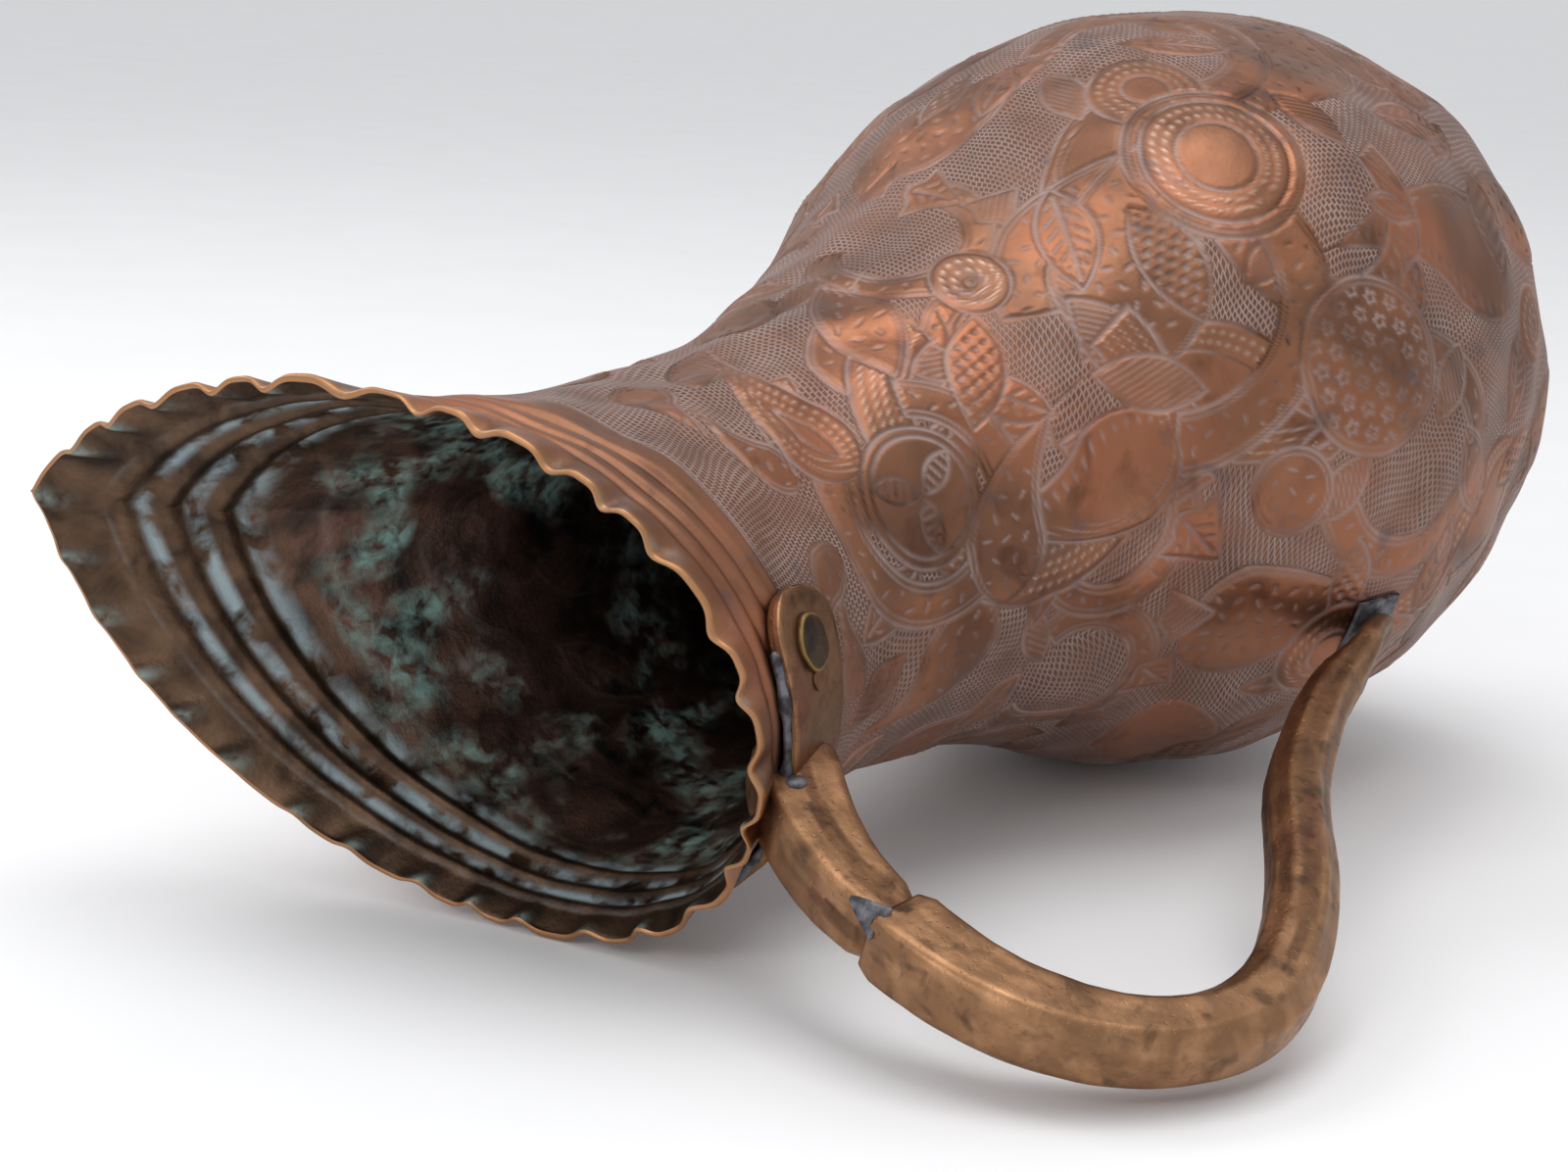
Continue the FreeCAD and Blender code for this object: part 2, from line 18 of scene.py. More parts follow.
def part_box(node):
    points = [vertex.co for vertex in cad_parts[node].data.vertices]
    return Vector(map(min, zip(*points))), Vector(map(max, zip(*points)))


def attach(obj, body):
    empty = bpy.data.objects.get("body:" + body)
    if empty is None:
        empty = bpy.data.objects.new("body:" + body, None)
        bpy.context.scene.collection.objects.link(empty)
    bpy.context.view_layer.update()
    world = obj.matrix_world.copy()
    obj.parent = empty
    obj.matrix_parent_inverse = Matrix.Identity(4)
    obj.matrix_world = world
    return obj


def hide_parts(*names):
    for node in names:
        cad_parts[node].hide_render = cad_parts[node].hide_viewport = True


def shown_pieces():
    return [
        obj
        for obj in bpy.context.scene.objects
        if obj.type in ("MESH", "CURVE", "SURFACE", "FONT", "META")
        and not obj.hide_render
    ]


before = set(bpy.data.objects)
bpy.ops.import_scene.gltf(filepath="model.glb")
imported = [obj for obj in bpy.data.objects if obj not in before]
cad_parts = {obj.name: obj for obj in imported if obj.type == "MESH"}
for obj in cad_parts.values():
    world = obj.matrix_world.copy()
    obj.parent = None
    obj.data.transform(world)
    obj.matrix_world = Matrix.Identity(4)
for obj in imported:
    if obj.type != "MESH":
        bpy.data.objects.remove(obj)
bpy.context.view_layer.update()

MM = 0.001
random = np.random.default_rng(7)

# %% [markdown]
# The vessel is a surface of revolution up to the neck. From there the wall flares into a teardrop
# in a sloping plane. The radii of the belly and base and the tip's reach and height come from the
# boxes of the loaded nodes, so the looks fit the measured solids. All of this notebook's lengths are in
# millimetres.

# %% Sizes of the vessel, in millimetres
wall_top, base_top = [np.array(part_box(node)[1]) / MM for node in ("vessel_wall", "base_seam_braze")]
BELLY_RADIUS = wall_top[1]
BELLY_HEIGHT = 74.0
BASE_RADIUS = base_top[0]
TIP_REACH = wall_top[0]
TIP_HEIGHT = wall_top[2]
NECK_RADIUS = 43.8
NECK_HEIGHT = 215.0
LOWER_CURVE = 160.0
SHOULDER_CURVE = 100.0
WALL = 1.2
BACK_REACH = 54.7
BACK_HEIGHT = 258.0
BACK_FULLNESS = 65.3
TIP_FULLNESS = 72.8
TIP_TAPER = 33.5
FLARE = 1.8
EDGE_SAG = 3.5
FLARE_RUN = 70.0
print("belly", BELLY_RADIUS, "base", BASE_RADIUS, "tip", TIP_REACH, TIP_HEIGHT)


# %% [markdown]
# The profile is four arcs, each tangent to the next: the turn into the base, the lower
# belly, the shoulder and the hollow of the neck. Walking along them in equal steps gives
# rows of points that are evenly spaced on the metal, which a chased pattern needs.

# %% The profile from base to neck
def arc_points(centre, radius, first, last, steps=200):
    angles = np.linspace(first, last, steps)
    return np.c_[centre[0] + radius * np.cos(angles), centre[1] + radius * np.sin(angles)]


shift = BASE_RADIUS + LOWER_CURVE - BELLY_RADIUS
corner = (LOWER_CURVE ** 2 - shift ** 2 - BELLY_HEIGHT ** 2) / (2 * (LOWER_CURVE - BELLY_HEIGHT))
rise = NECK_HEIGHT - BELLY_HEIGHT
inward = NECK_RADIUS - BELLY_RADIUS + SHOULDER_CURVE
hollow = (inward ** 2 + rise ** 2 - SHOULDER_CURVE ** 2) / (2 * (SHOULDER_CURVE - inward))
lower_x = BELLY_RADIUS - LOWER_CURVE
shoulder_x = BELLY_RADIUS - SHOULDER_CURVE
side = math.atan2(corner - BELLY_HEIGHT, BASE_RADIUS - lower_x)
lean = math.atan2(rise, NECK_RADIUS + hollow - shoulder_x)
profile = np.vstack([
    arc_points((BASE_RADIUS, corner), corner, -math.pi / 2, side),
    arc_points((lower_x, BELLY_HEIGHT), LOWER_CURVE, side, 0)[1:],
    arc_points((shoulder_x, BELLY_HEIGHT), SHOULDER_CURVE, 0, lean)[1:],
    arc_points((NECK_RADIUS + hollow, NECK_HEIGHT), hollow, math.pi + lean, math.pi)[1:],
])
profile_run = np.r_[0, np.cumsum(np.hypot(*np.diff(profile, axis=0).T))]
BODY_RUN = profile_run[-1]
print("length of the profile from base to neck", round(BODY_RUN, 1))


# %% [markdown]
# Seen from above, each half of the mouth's edge is one cubic curve. Here it is sampled once
# and turned into a radius for every direction, so that the flare can be worked out as a
# blend from the neck's circle to the edge.

# %% The edge of the mouth as a radius for every direction
def mouth_radius(angles):
    steps = np.linspace(0, 1, 600)[:, None]
    pulls = np.array([[-BACK_REACH, 0], [-BACK_REACH, BACK_FULLNESS],
                      [TIP_REACH - TIP_TAPER, TIP_FULLNESS], [TIP_REACH, 0]])
    weights = np.hstack([(1 - steps) ** 3, 3 * steps * (1 - steps) ** 2,
                         3 * steps ** 2 * (1 - steps), steps ** 3])
    edge = weights @ pulls
    direction = np.arctan2(edge[:, 1], edge[:, 0])
    folded = np.abs((angles + np.pi) % (2 * np.pi) - np.pi)
    return np.interp(folded, direction[::-1], np.hypot(edge[:, 0], edge[:, 1])[::-1])


def skin_point(run, angle):
    """Points of the skin. run is the length along the profile, and past BODY_RUN along the flare."""
    run, angle = np.broadcast_arrays(run, angle)
    share = np.clip((run - BODY_RUN) / FLARE_RUN, 0, None)
    radius = np.interp(run, profile_run, profile[:, 0])
    height = np.interp(run, profile_run, profile[:, 1])
    bloom = share ** FLARE
    edge = mouth_radius(angle)
    radius = radius + (edge - NECK_RADIUS) * bloom
    x = radius * np.cos(angle)
    y = radius * np.sin(angle)
    back = -NECK_RADIUS + (NECK_RADIUS - BACK_REACH) * bloom
    tip = NECK_RADIUS + (TIP_REACH - NECK_RADIUS) * bloom
    along = (x - back) / (tip - back)
    slope = (BACK_HEIGHT - NECK_HEIGHT) + (TIP_HEIGHT - BACK_HEIGHT) * along
    height = height + slope * share - EDGE_SAG * np.sin(angle) ** 2 * share ** 2
    return np.stack([x, y, height], axis=-1)
TOP_RUN = BODY_RUN + FLARE_RUN
print("edge radius to the side", mouth_radius(np.array([math.pi / 2])))

# %% [markdown]
# Chasing pushes lines and grounds into the metal with punches. Here each motif is a small
# formula for the distance to its outline, in the flat surface of the sheet: across is
# the distance around the jug and along is the distance up the profile. A stamp clears
# what lies under it, draws its outline as a groove and fills itself with its own marks.
# What no motif covers is the ground, which is punched all over with tiny dashes.

# %% The grid of the outside and the fields of the ornament
ROW_STEP = 0.62
COLUMNS = 900
FLARE_ROWS = 110
MEAN_SPREAD = 12.0
body_rows = np.arange(0.0, BODY_RUN, ROW_STEP)
flare_rows = BODY_RUN + FLARE_RUN * np.linspace(0, 1, FLARE_ROWS)
rows = np.concatenate([body_rows, flare_rows])
columns = np.linspace(-np.pi, np.pi, COLUMNS, endpoint=False)
local_radius = np.interp(rows, profile_run, profile[:, 0])
flare_share = np.clip((rows - BODY_RUN) / FLARE_RUN, 0, 1)
local_radius = local_radius + MEAN_SPREAD * flare_share ** FLARE
fields = {name: np.zeros((len(rows), COLUMNS)) for name in ("line", "ground", "dots", "raised")}
ORNAMENT_LOW = 16.0
ORNAMENT_HIGH = BODY_RUN + 0.52 * FLARE_RUN
fields["ground"][(rows > ORNAMENT_LOW) & (rows < ORNAMENT_HIGH)] = 1.0
print("grid", len(rows), "by", COLUMNS)


# %% Outlines of the motifs, one unit from middle to edge
def disc(x, y):
    return np.hypot(x, y) - 1.0


def leaf(x, y):
    return np.abs(x) - 0.46 * (1.0 - y * y)


def boteh(x, y):
    """A drop with a bent tip, the paisley of woven and chased work."""
    upper = np.clip(y, 0, None)
    width = np.where(y < 0, 0.62 * np.sqrt(np.clip(1 - (y / 0.8) ** 2, 0, None)),
                     0.62 * np.clip(1 - upper / 1.5, 0, None) ** 0.75)
    gap = np.abs(x - 0.42 * upper ** 2) - width
    return np.where(y < -0.8, np.hypot(x, y + 0.8), gap)


def scroll(x, y):
    """A ribbon that runs most of the way round a circle."""
    turn = np.arctan2(y, x)
    ribbon = np.abs(np.hypot(x, y) - 0.84) - 0.17
    return np.where(np.abs(turn) > 2.4, np.maximum(ribbon, 0.4 * (np.abs(turn) - 2.4)), ribbon)


def fan(x, y):
    """A leaf with a broad scalloped end."""
    turn = np.arctan2(x, y + 1.0)
    reach = np.hypot(x, y + 1.0)
    return np.maximum(reach - 1.75 - 0.12 * np.cos(9 * turn), 1.2 * (np.abs(turn) - 0.62) * reach)

print("five outlines: disc, leaf, boteh, scroll and fan")


# %% Marks inside the motifs
def groove(distance, width=0.42):
    return np.exp(-(distance / width) ** 2)


def nearest(value, pitch):
    """Distance to the nearest of evenly spaced lines."""
    return (value / pitch - np.round(value / pitch)) * pitch


def staggered(x, y, pitch):
    """Distances to the nearest middle of a staggered pattern, and which one it is."""
    row = np.round(y / (0.87 * pitch))
    over = x / pitch + 0.5 * (row % 2)
    cell = np.round(over)
    return (over - cell) * pitch, y - row * 0.87 * pitch, cell, row


def fill_veins(x, y, size, inside):
    middle = groove(x * size, 0.5)
    ribs = groove(nearest(y * size + np.abs(x) * size * 0.9, 3.2), 0.42)
    return {"line": np.maximum(middle, ribs * (np.abs(x) * size > 1.0)) * (inside < -1.6)}


def fill_strokes(x, y, size, inside):
    """Short strokes that follow the border, as in a band of small leaves."""
    beat = nearest(np.arctan2(y, x) * np.hypot(x, y) * size, 3.6)
    band = np.exp(-((inside + 3.0) / 1.1) ** 2)
    return {"line": groove(beat + 0.5 * (inside + 3.0), 0.45) * band}


def fill_trefoil(x, y, size, inside):
    """Three leaves around the middle, each with a rib and short hatches."""
    line = groove(inside + 2.0, 0.45)
    for turn in (0.5, 0.5 + 2 * np.pi / 3, 0.5 + 4 * np.pi / 3):
        away = (x * np.sin(turn) + y * np.cos(turn)) - 0.44
        over = x * np.cos(turn) - y * np.sin(turn)
        gap = leaf(over / 0.40, away / 0.40) * 0.40 * size
        within = (gap < 0) & (np.abs(away) < 0.40)
        line = np.where(within, 0, line)
        line = np.maximum(line, groove(gap, 0.5) * (np.abs(away) < 0.42))
        hatch = groove(nearest(away * size, 1.9), 0.4)
        line = np.maximum(line, hatch * (np.abs(over * size) < 1.7) * within)
    return {"line": line}


def fill_stars(x, y, size, inside):
    """Small punched stars of one dot with five points."""
    dx, dy, cell, row = staggered(x * size, y * size, 5.2)
    star = groove(np.hypot(dx, dy) - 1.15 - 0.35 * np.cos(5 * np.arctan2(dy, dx)), 0.42)
    return {"line": star * (inside < -2.0) + groove(inside + 1.5, 0.4) * 0.5}


def fill_scales(x, y, size, inside):
    """Rows of small arcs like fish scales."""
    pitch = 3.4
    row = np.floor(y * size / (0.6 * pitch))
    dx = nearest(x * size + 0.5 * (row % 2) * pitch, pitch)
    dy = y * size - (row + 0.4) * 0.6 * pitch
    return {"line": groove(np.hypot(dx, dy) - 0.48 * pitch, 0.4) * (dy > -0.2) * (inside < -1.0)}


def fill_plain(x, y, size, inside):
    """A second line inside the border, and short strokes in every direction, one blow each."""
    dx, dy, cell, row = staggered(x * size, y * size, 4.6)
    turn = 1.3 * np.sin(cell * 2.7 + row * 1.9) + 0.6
    along = dx * np.cos(turn) + dy * np.sin(turn)
    away = dy * np.cos(turn) - dx * np.sin(turn)
    strokes = groove(away, 0.32) * np.exp(-(along / 1.1) ** 6)
    return {"line": np.maximum(groove(inside + 1.3, 0.32) * 0.7, strokes * (inside < -2.2))}


def fill_hatch(x, y, size, inside):
    """Close slanting hatches, as for a shaded leaf."""
    slant = x * size * 0.8 + y * size * 0.6
    return {"line": groove(nearest(slant, 1.3), 0.3) * 0.75 * (inside < -0.8)}


def fill_pearls(x, y, size, inside):
    """Two rows of punched dots that follow the border."""
    beat = nearest(np.arctan2(y, x) * np.hypot(x, y) * size, 2.3)
    row_gap = np.minimum(np.abs(inside + 2.4), np.abs(inside + 4.8))
    return {"dots": np.exp(-(beat ** 2 + row_gap ** 2) / 0.5 ** 2),
            "line": groove(inside + 7.0, 0.32) * (inside < -1)}


print("eight fills, each a set of chased or punched marks")
# %% The stamp
RAISE_WIDTH = 1.6


def stamp(outline, fill, angle, run, size, turn=0.0, flip=1):
    """Draws one motif: angle in degrees around the jug, run along the profile, size in millimetres."""
    reach = 1.9 * size
    row_span = slice(*np.searchsorted(rows, (run - reach, run + reach)))
    if row_span.stop - row_span.start < 3:
        return
    radius = local_radius[row_span][:, None]
    around = (columns[None, :] - math.radians(angle) + np.pi) % (2 * np.pi) - np.pi
    across = around * radius
    near = np.abs(across).min(axis=0) < reach
    across = across[:, near] * flip
    along = np.broadcast_to(rows[row_span][:, None] - run, across.shape)
    tilt = math.radians(turn)
    x = (across * math.cos(tilt) + along * math.sin(tilt)) / size
    y = (along * math.cos(tilt) - across * math.sin(tilt)) / size
    distance = outline(x, y) * size
    inside = distance < 0
    marks = fill(x, y, size, distance)
    window = np.ix_(range(row_span.start, row_span.stop), np.flatnonzero(near))
    cleared = distance < 0.6
    for name, field in fields.items():
        part = field[window]
        part = np.where(cleared, 0.0, part)
        if name in marks:
            part = np.where(inside, np.maximum(part, marks[name]), part)
        if name == "line":
            part = np.maximum(part, groove(distance, 0.45))
        if name == "raised":
            part = np.where(inside, np.clip(-distance / RAISE_WIDTH, 0, 1), part)
        field[window] = part
print("a raised motif swells over", RAISE_WIDTH, "mm")
# %% [markdown]
# The motifs are laid in rows that lock into each other, the way a chaser fills a body: big
# drops and scrolls first, then discs over them, then leaves in the gaps. Seeded random
# turns keep any two from being equal.
# %% Lay the motifs around the body
# Each row: outline, fills in turn, how many, run, first angle, unevenness, size, turn, mirrored.
# A pair of numbers is a range to draw from. Angles are in degrees and the rest in millimetres.
ROWS_OF_MOTIFS = (
    (leaf, (fill_plain,), 10, 36, 12, 4, 22, (-40, 40), False),
    (boteh, (fill_plain, fill_pearls, fill_strokes), 9, 76, 26, 4, 24, (20, 70), True),
    (scroll, (fill_strokes, fill_plain), 9, 108, 0, 4, 26, (-180, 180), False),
    (boteh, (fill_strokes, fill_plain, fill_pearls), 9, 146, 24, 4, 22, (-160, -110), True),
    (scroll, (fill_plain,), 9, 182, 8, 4, 19, (-180, 180), False),
    (boteh, (fill_plain,), 9, 216, 28, 4, 14, (-180, 180), True),
    (leaf, (fill_veins, fill_hatch, fill_scales), 26, 62, 4, 7, (8, 13), (-90, 90), False),
    (leaf, (fill_hatch, fill_veins, fill_plain), 26, 94, 8, 7, (7, 12), (-90, 90), False),
    (leaf, (fill_scales, fill_hatch, fill_veins), 26, 130, 15, 7, (7, 12), (-90, 90), False),
    (fan, (fill_veins, fill_hatch), 22, 166, 0, 7, (5, 8), (-120, 120), False),
    (leaf, (fill_veins, fill_hatch), 18, 200, 0, 6, (7, 11), (-90, 90), False),
    (disc, (fill_stars, fill_pearls), 7, 124, 16, 4, 12, None, False),
    (disc, (fill_pearls, fill_stars), 8, 52, 35, 4, 9, None, False),
    (leaf, (fill_veins, fill_hatch), 14, 238, 4, 4, 11, (20, 60), False),
    (boteh, (fill_plain,), 12, 256, 12, 4, 9, (-70, -20), True),
)
for outline, fills, count, run, start, spread, sizes, turns, mirrored in ROWS_OF_MOTIFS:
    for number in range(count):
        angle = start + 360.0 * number / count + random.uniform(-spread, spread)
        height = run + random.uniform(-spread, spread)
        size = random.uniform(*sizes) if isinstance(sizes, tuple) else sizes
        turn = random.uniform(*turns) if turns else 0.0
        stamp(outline, fills[number % len(fills)], angle, height, size, turn,
              -1 if mirrored and number % 2 else 1)

# The places where the side that is seen first has its largest motifs.
for outline, fill, angle, run, size, turn in (
        (scroll, fill_plain, -119, 152, 34, -70), (boteh, fill_plain, -111, 156, 26, -118),
        (leaf, fill_scales, -114, 148, 14, -95), (leaf, fill_hatch, -122, 168, 13, -80),
        (leaf, fill_veins, -99, 160, 13, -120), (disc, fill_plain, -104, 124, 19, 0),
        (disc, fill_pearls, -104, 124, 15.5, 0), (disc, fill_stars, -142, 117, 18, 0),
        (disc, fill_plain, -157, 141, 9, 0), (scroll, fill_pearls, -127, 194, 34, 150),
        (scroll, fill_plain, -133, 222, 24, 200), (disc, fill_trefoil, -133, 222, 13.5, 0),
        (leaf, fill_scales, -112, 196, 13, 50), (boteh, fill_pearls, -107, 238, 15, -65),
        (leaf, fill_plain, -86, 206, 17, 70), (disc, fill_pearls, -94, 182, 8, 0),
        (boteh, fill_strokes, -146, 178, 19, 30), (leaf, fill_hatch, -131, 165, 12, -30),
        (boteh, fill_plain, -150, 206, 15, -100)):
    stamp(outline, fill, angle, run, size, turn)

# Borders: two chased lines near the base and one part way up the flare.
for run, strength in ((ORNAMENT_LOW, 1.0), (ORNAMENT_LOW + 4.0, 0.8), (ORNAMENT_HIGH, 1.0)):
    fields["line"] = np.maximum(fields["line"], strength * groove(rows - run, 0.8)[:, None])
print("motifs laid; share of ground", round(float(fields["ground"].mean()), 2))

# %% [markdown]
# The sheet was hammered all over, so it is never quite round. Sums of a few long waves
# give the dents, a finer grid of soft facets gives the hammer's faces, and both fade out
# towards the edge, which was trued up.

# %% Helpers for meshes
def make_mesh(name, points, quads, smooth=True):
    """One object from points in millimetres and faces, without holes in the numbering."""
    mesh = bpy.data.meshes.new(name)
    points = np.asarray(points, dtype=float) * MM
    quads = np.asarray(quads, dtype=np.int32)
    sides = quads.shape[1]
    mesh.vertices.add(len(points))
    mesh.vertices.foreach_set("co", points.astype(np.float32).ravel())
    mesh.loops.add(quads.size)
    mesh.loops.foreach_set("vertex_index", quads.ravel())
    mesh.polygons.add(len(quads))
    mesh.polygons.foreach_set("loop_start", np.arange(0, quads.size, sides, dtype=np.int32))
    mesh.update(calc_edges=True)
    mesh.validate()
    mesh.polygons.foreach_set("use_smooth", np.full(len(mesh.polygons), smooth))
    item = bpy.data.objects.new(name, mesh)
    bpy.context.scene.collection.objects.link(item)
    return item


def grid_faces(row_count, column_count, inward=False):
    """Quads of a grid of points whose rows wrap around."""
    row, column = np.meshgrid(np.arange(row_count - 1), np.arange(column_count), indexing="ij")
    after = (column + 1) % column_count
    corners = [row * column_count + column, row * column_count + after,
               (row + 1) * column_count + after, (row + 1) * column_count + column]
    if inward:
        corners = corners[::-1]
    return np.stack([corner.ravel() for corner in corners], axis=1)


def add_attribute(item, name, values):
    attribute = item.data.attributes.new(name, "FLOAT", "POINT")
    attribute.data.foreach_set("value", np.asarray(values, dtype=np.float32).ravel())


def add_map(item, across, along, closed_width):
    """A UV map in millimetres around and up the sheet, with its seam kept whole."""
    sheet = item.data.uv_layers.new(name="sheet")
    index = np.zeros(len(item.data.loops), dtype=np.int32)
    item.data.loops.foreach_get("vertex_index", index)
    u = across.ravel()[index].reshape(-1, 4)
    width = np.repeat(closed_width, across.shape[1])[index].reshape(-1, 4)
    u = np.where(u.max(axis=1, keepdims=True) - u > width / 2, u + width, u)
    uv = np.stack([u.ravel(), along.ravel()[index]], axis=1)
    sheet.data.foreach_set("uv", uv.astype(np.float32).ravel())


def waves(angle, run, lengths, seed):
    """A few sums of waves that close around the jug, each about one high."""
    source = np.random.default_rng(seed)
    total = np.zeros(np.broadcast(angle, run).shape)
    for length in lengths:
        turns = max(1, int(round(2 * math.pi * 60.0 / length)))
        for count in (turns, max(1, turns - 1), turns + 2):
            phase, lift = source.uniform(0, 2 * math.pi, 2)
            total = total + np.sin(count * angle + phase + 0.8 * np.sin(2 * math.pi * run / (1.9 * length))) \
                * np.sin(2 * math.pi * run / (length * source.uniform(0.9, 1.2)) + lift)
    return total / math.sqrt(3 * len(lengths))


def hammer_marks(across, along, pitch, seed):
    """Flat-bottomed round marks in an uneven grid: zero in the middle of a mark, one between."""
    source = np.random.default_rng(seed)
    jitter = source.uniform(-0.32, 0.32, (64, 64, 2))
    u, v = across / pitch, along / pitch
    nearest = np.full(np.broadcast(u, v).shape, 9.0)
    for du in (-1, 0, 1):
        for dv in (-1, 0, 1):
            cu, cv = np.floor(u) + du, np.floor(v) + dv
            spot = jitter[cu.astype(int) % 64, cv.astype(int) % 64]
            nearest = np.minimum(nearest, np.hypot(u - cu - 0.5 - spot[..., 0], v - cv - 0.5 - spot[..., 1]))
    return np.clip(nearest, 0, 1) ** 2


# %% [markdown]
# The mouth was flared and then thinned, and its edge was nipped into a row of crimps. Behind
# the edge three beads were raised from outside with a blunt tool, so they stand up inside
# the beak and leave shallow grooves outside. They fade towards the handle, where the flare is short.

# %% Crimps and beads
CRIMPS = 30
CRIMP_DEPTH = 2.1
CRIMP_OUT = 0.5
CRIMP_REACH = 6.5
BEADS = ((12.0, 1.2), (19.5, 1.5), (28.0, 1.7))
BEAD_WIDTH = 1.8
TIP_LENGTH = 96.0
EDGE_WIDTH = 1.6


def flare_scale(angle):
    """How long the flare is in this direction compared with its length at the tip."""
    edge = skin_point(np.array([TOP_RUN]), angle)
    neck = skin_point(np.array([BODY_RUN]), angle)
    length = np.linalg.norm(edge - neck, axis=-1)
    return length / np.linalg.norm(skin_point(TOP_RUN, 0.0) - skin_point(BODY_RUN, 0.0))


def edge_distance(run, angle):
    """Millimetres down from the edge, measured along the sheet at the tip's own scale."""
    return np.clip(TOP_RUN - run, 0, None) / FLARE_RUN * TIP_LENGTH * (0.62 + 0.38 * flare_scale(angle))


edge_angles = np.linspace(-np.pi, np.pi, 721)
edge_points = skin_point(np.full(721, TOP_RUN), edge_angles)
edge_length = np.r_[0, np.cumsum(np.linalg.norm(np.diff(edge_points, axis=0), axis=1))]


def crimp_wave(angle):
    """One at the middle of each crimp and zero between them, evenly spaced along the edge."""
    folded = (angle + np.pi) % (2 * np.pi) - np.pi
    walked = np.interp(folded, edge_angles, edge_length) / edge_length[-1]
    beat = 0.05 * np.sin(2 * np.pi * 5 * walked) + 0.04 * np.sin(2 * np.pi * 11 * walked + 1.0)
    wave = np.cos(2 * np.pi * (CRIMPS * walked + 2.2 * beat))
    return (0.5 + 0.5 * wave) ** 2.2


def mouth_relief(run, angle):
    """Offset of the sheet towards the inside (positive) by beads and crimps."""
    down = edge_distance(run, angle)
    fade = np.exp(-(down / CRIMP_REACH) ** 1.6)
    nip = (CRIMP_DEPTH * crimp_wave(angle) - CRIMP_OUT) * fade
    bead = sum(depth * np.exp(-((down - place) / BEAD_WIDTH) ** 2) for place, depth in BEADS)
    bead = bead * np.clip(flare_scale(angle), 0.55, 1.0)
    return nip + bead, crimp_wave(angle) * fade, bead


print("scale of the flare at the side", flare_scale(np.array([math.pi / 2])))

# %% [markdown]
# The outside is one grid of points, closed around, that carries the chasing as real relief:
# grooves go in, raised motifs come out, and the punched ground lies a little lower. Each
# value is also kept on the points, so the copper's finish knows where the grooves are.

# %% The outside of the sheet
GROOVE_DEPTH = 0.30
GROUND_DEPTH = 0.14
DOT_HEIGHT = 0.22
RAISE_HEIGHT = 0.14
DENT_DEPTH = 0.75
DENT_LENGTHS = (55, 30)
HAMMER_PITCH = 7.0
PLANISH_DEPTH = 0.09


def directions(points):
    """Unit normals of a closed grid of points, pointing outwards."""
    around = np.roll(points, -1, axis=1) - np.roll(points, 1, axis=1)
    along = np.gradient(points, axis=0)
    normal = np.cross(around, along)
    return normal / np.maximum(np.linalg.norm(normal, axis=-1, keepdims=True), 1e-9)


angle_grid, run_grid = np.meshgrid(columns, rows)
across_grid = angle_grid * local_radius[:, None]
skin = skin_point(run_grid, angle_grid)
skin_normal = directions(skin)
relief, crimp, bead = mouth_relief(run_grid, angle_grid)
calm = 1 - 0.7 * np.clip((run_grid - BODY_RUN) / FLARE_RUN, 0, 1)
dents = waves(angle_grid, run_grid, DENT_LENGTHS, 3) * DENT_DEPTH * calm
dents = dents - hammer_marks(across_grid, run_grid, HAMMER_PITCH, 5) * PLANISH_DEPTH
base_fade = np.clip((run_grid - 5.0) / 8.0, 0, 1)
shape = (dents + RAISE_HEIGHT * fields["raised"] + DOT_HEIGHT * fields["dots"]
         - GROOVE_DEPTH * fields["line"] - GROUND_DEPTH * fields["ground"]) * base_fade
outer = skin + skin_normal * (shape - relief)[..., None]
inner_edge = skin[-1] - skin_normal[-1] * (relief[-1] + WALL)[:, None]
rise_up = outer[-1] - outer[-2]
rise_up = rise_up / np.linalg.norm(rise_up, axis=-1, keepdims=True)
lip = [outer[-1] * (1 - share) + inner_edge * share + rise_up * lift
       for share, lift in ((0.25, 0.42), (0.5, 0.55), (0.75, 0.42), (1.0, 0.0))]
outer_all = np.concatenate([outer, np.stack(lip)])
row_total = len(outer_all)
vessel = make_mesh("vessel_outside", outer_all.reshape(-1, 3), grid_faces(row_total, COLUMNS))
def with_lip(field, value):
    return np.concatenate([field, np.full((len(lip), COLUMNS), value)])


for name in ("line", "ground", "dots"):
    add_attribute(vessel, name, with_lip(fields[name] * base_fade, 0.0))
add_attribute(vessel, "crimp", np.concatenate([crimp, np.repeat(crimp[-1:], len(lip), axis=0)]))
add_attribute(vessel, "edge", with_lip(np.exp(-edge_distance(run_grid, angle_grid) / EDGE_WIDTH), 1.0))
add_attribute(vessel, "flare", with_lip(np.clip((run_grid - BODY_RUN) / FLARE_RUN, 0, 1), 1.0))
add_map(vessel, np.concatenate([across_grid, np.repeat(across_grid[-1:], len(lip), axis=0)]),
        np.concatenate([run_grid, np.full((len(lip), COLUMNS), TOP_RUN)]),
        np.r_[2 * np.pi * local_radius, np.full(len(lip), 2 * np.pi * local_radius[-1])])
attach(vessel, "root")
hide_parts("vessel_wall")
print("outside", len(vessel.data.vertices), "points")

# %% [markdown]
# The lining is the same sheet seen from the inside, one wall's thickness in. The chasing
# shows through it faintly. It is a separate grid with fewer columns, because the inside of
# the belly is only seen down through the neck.

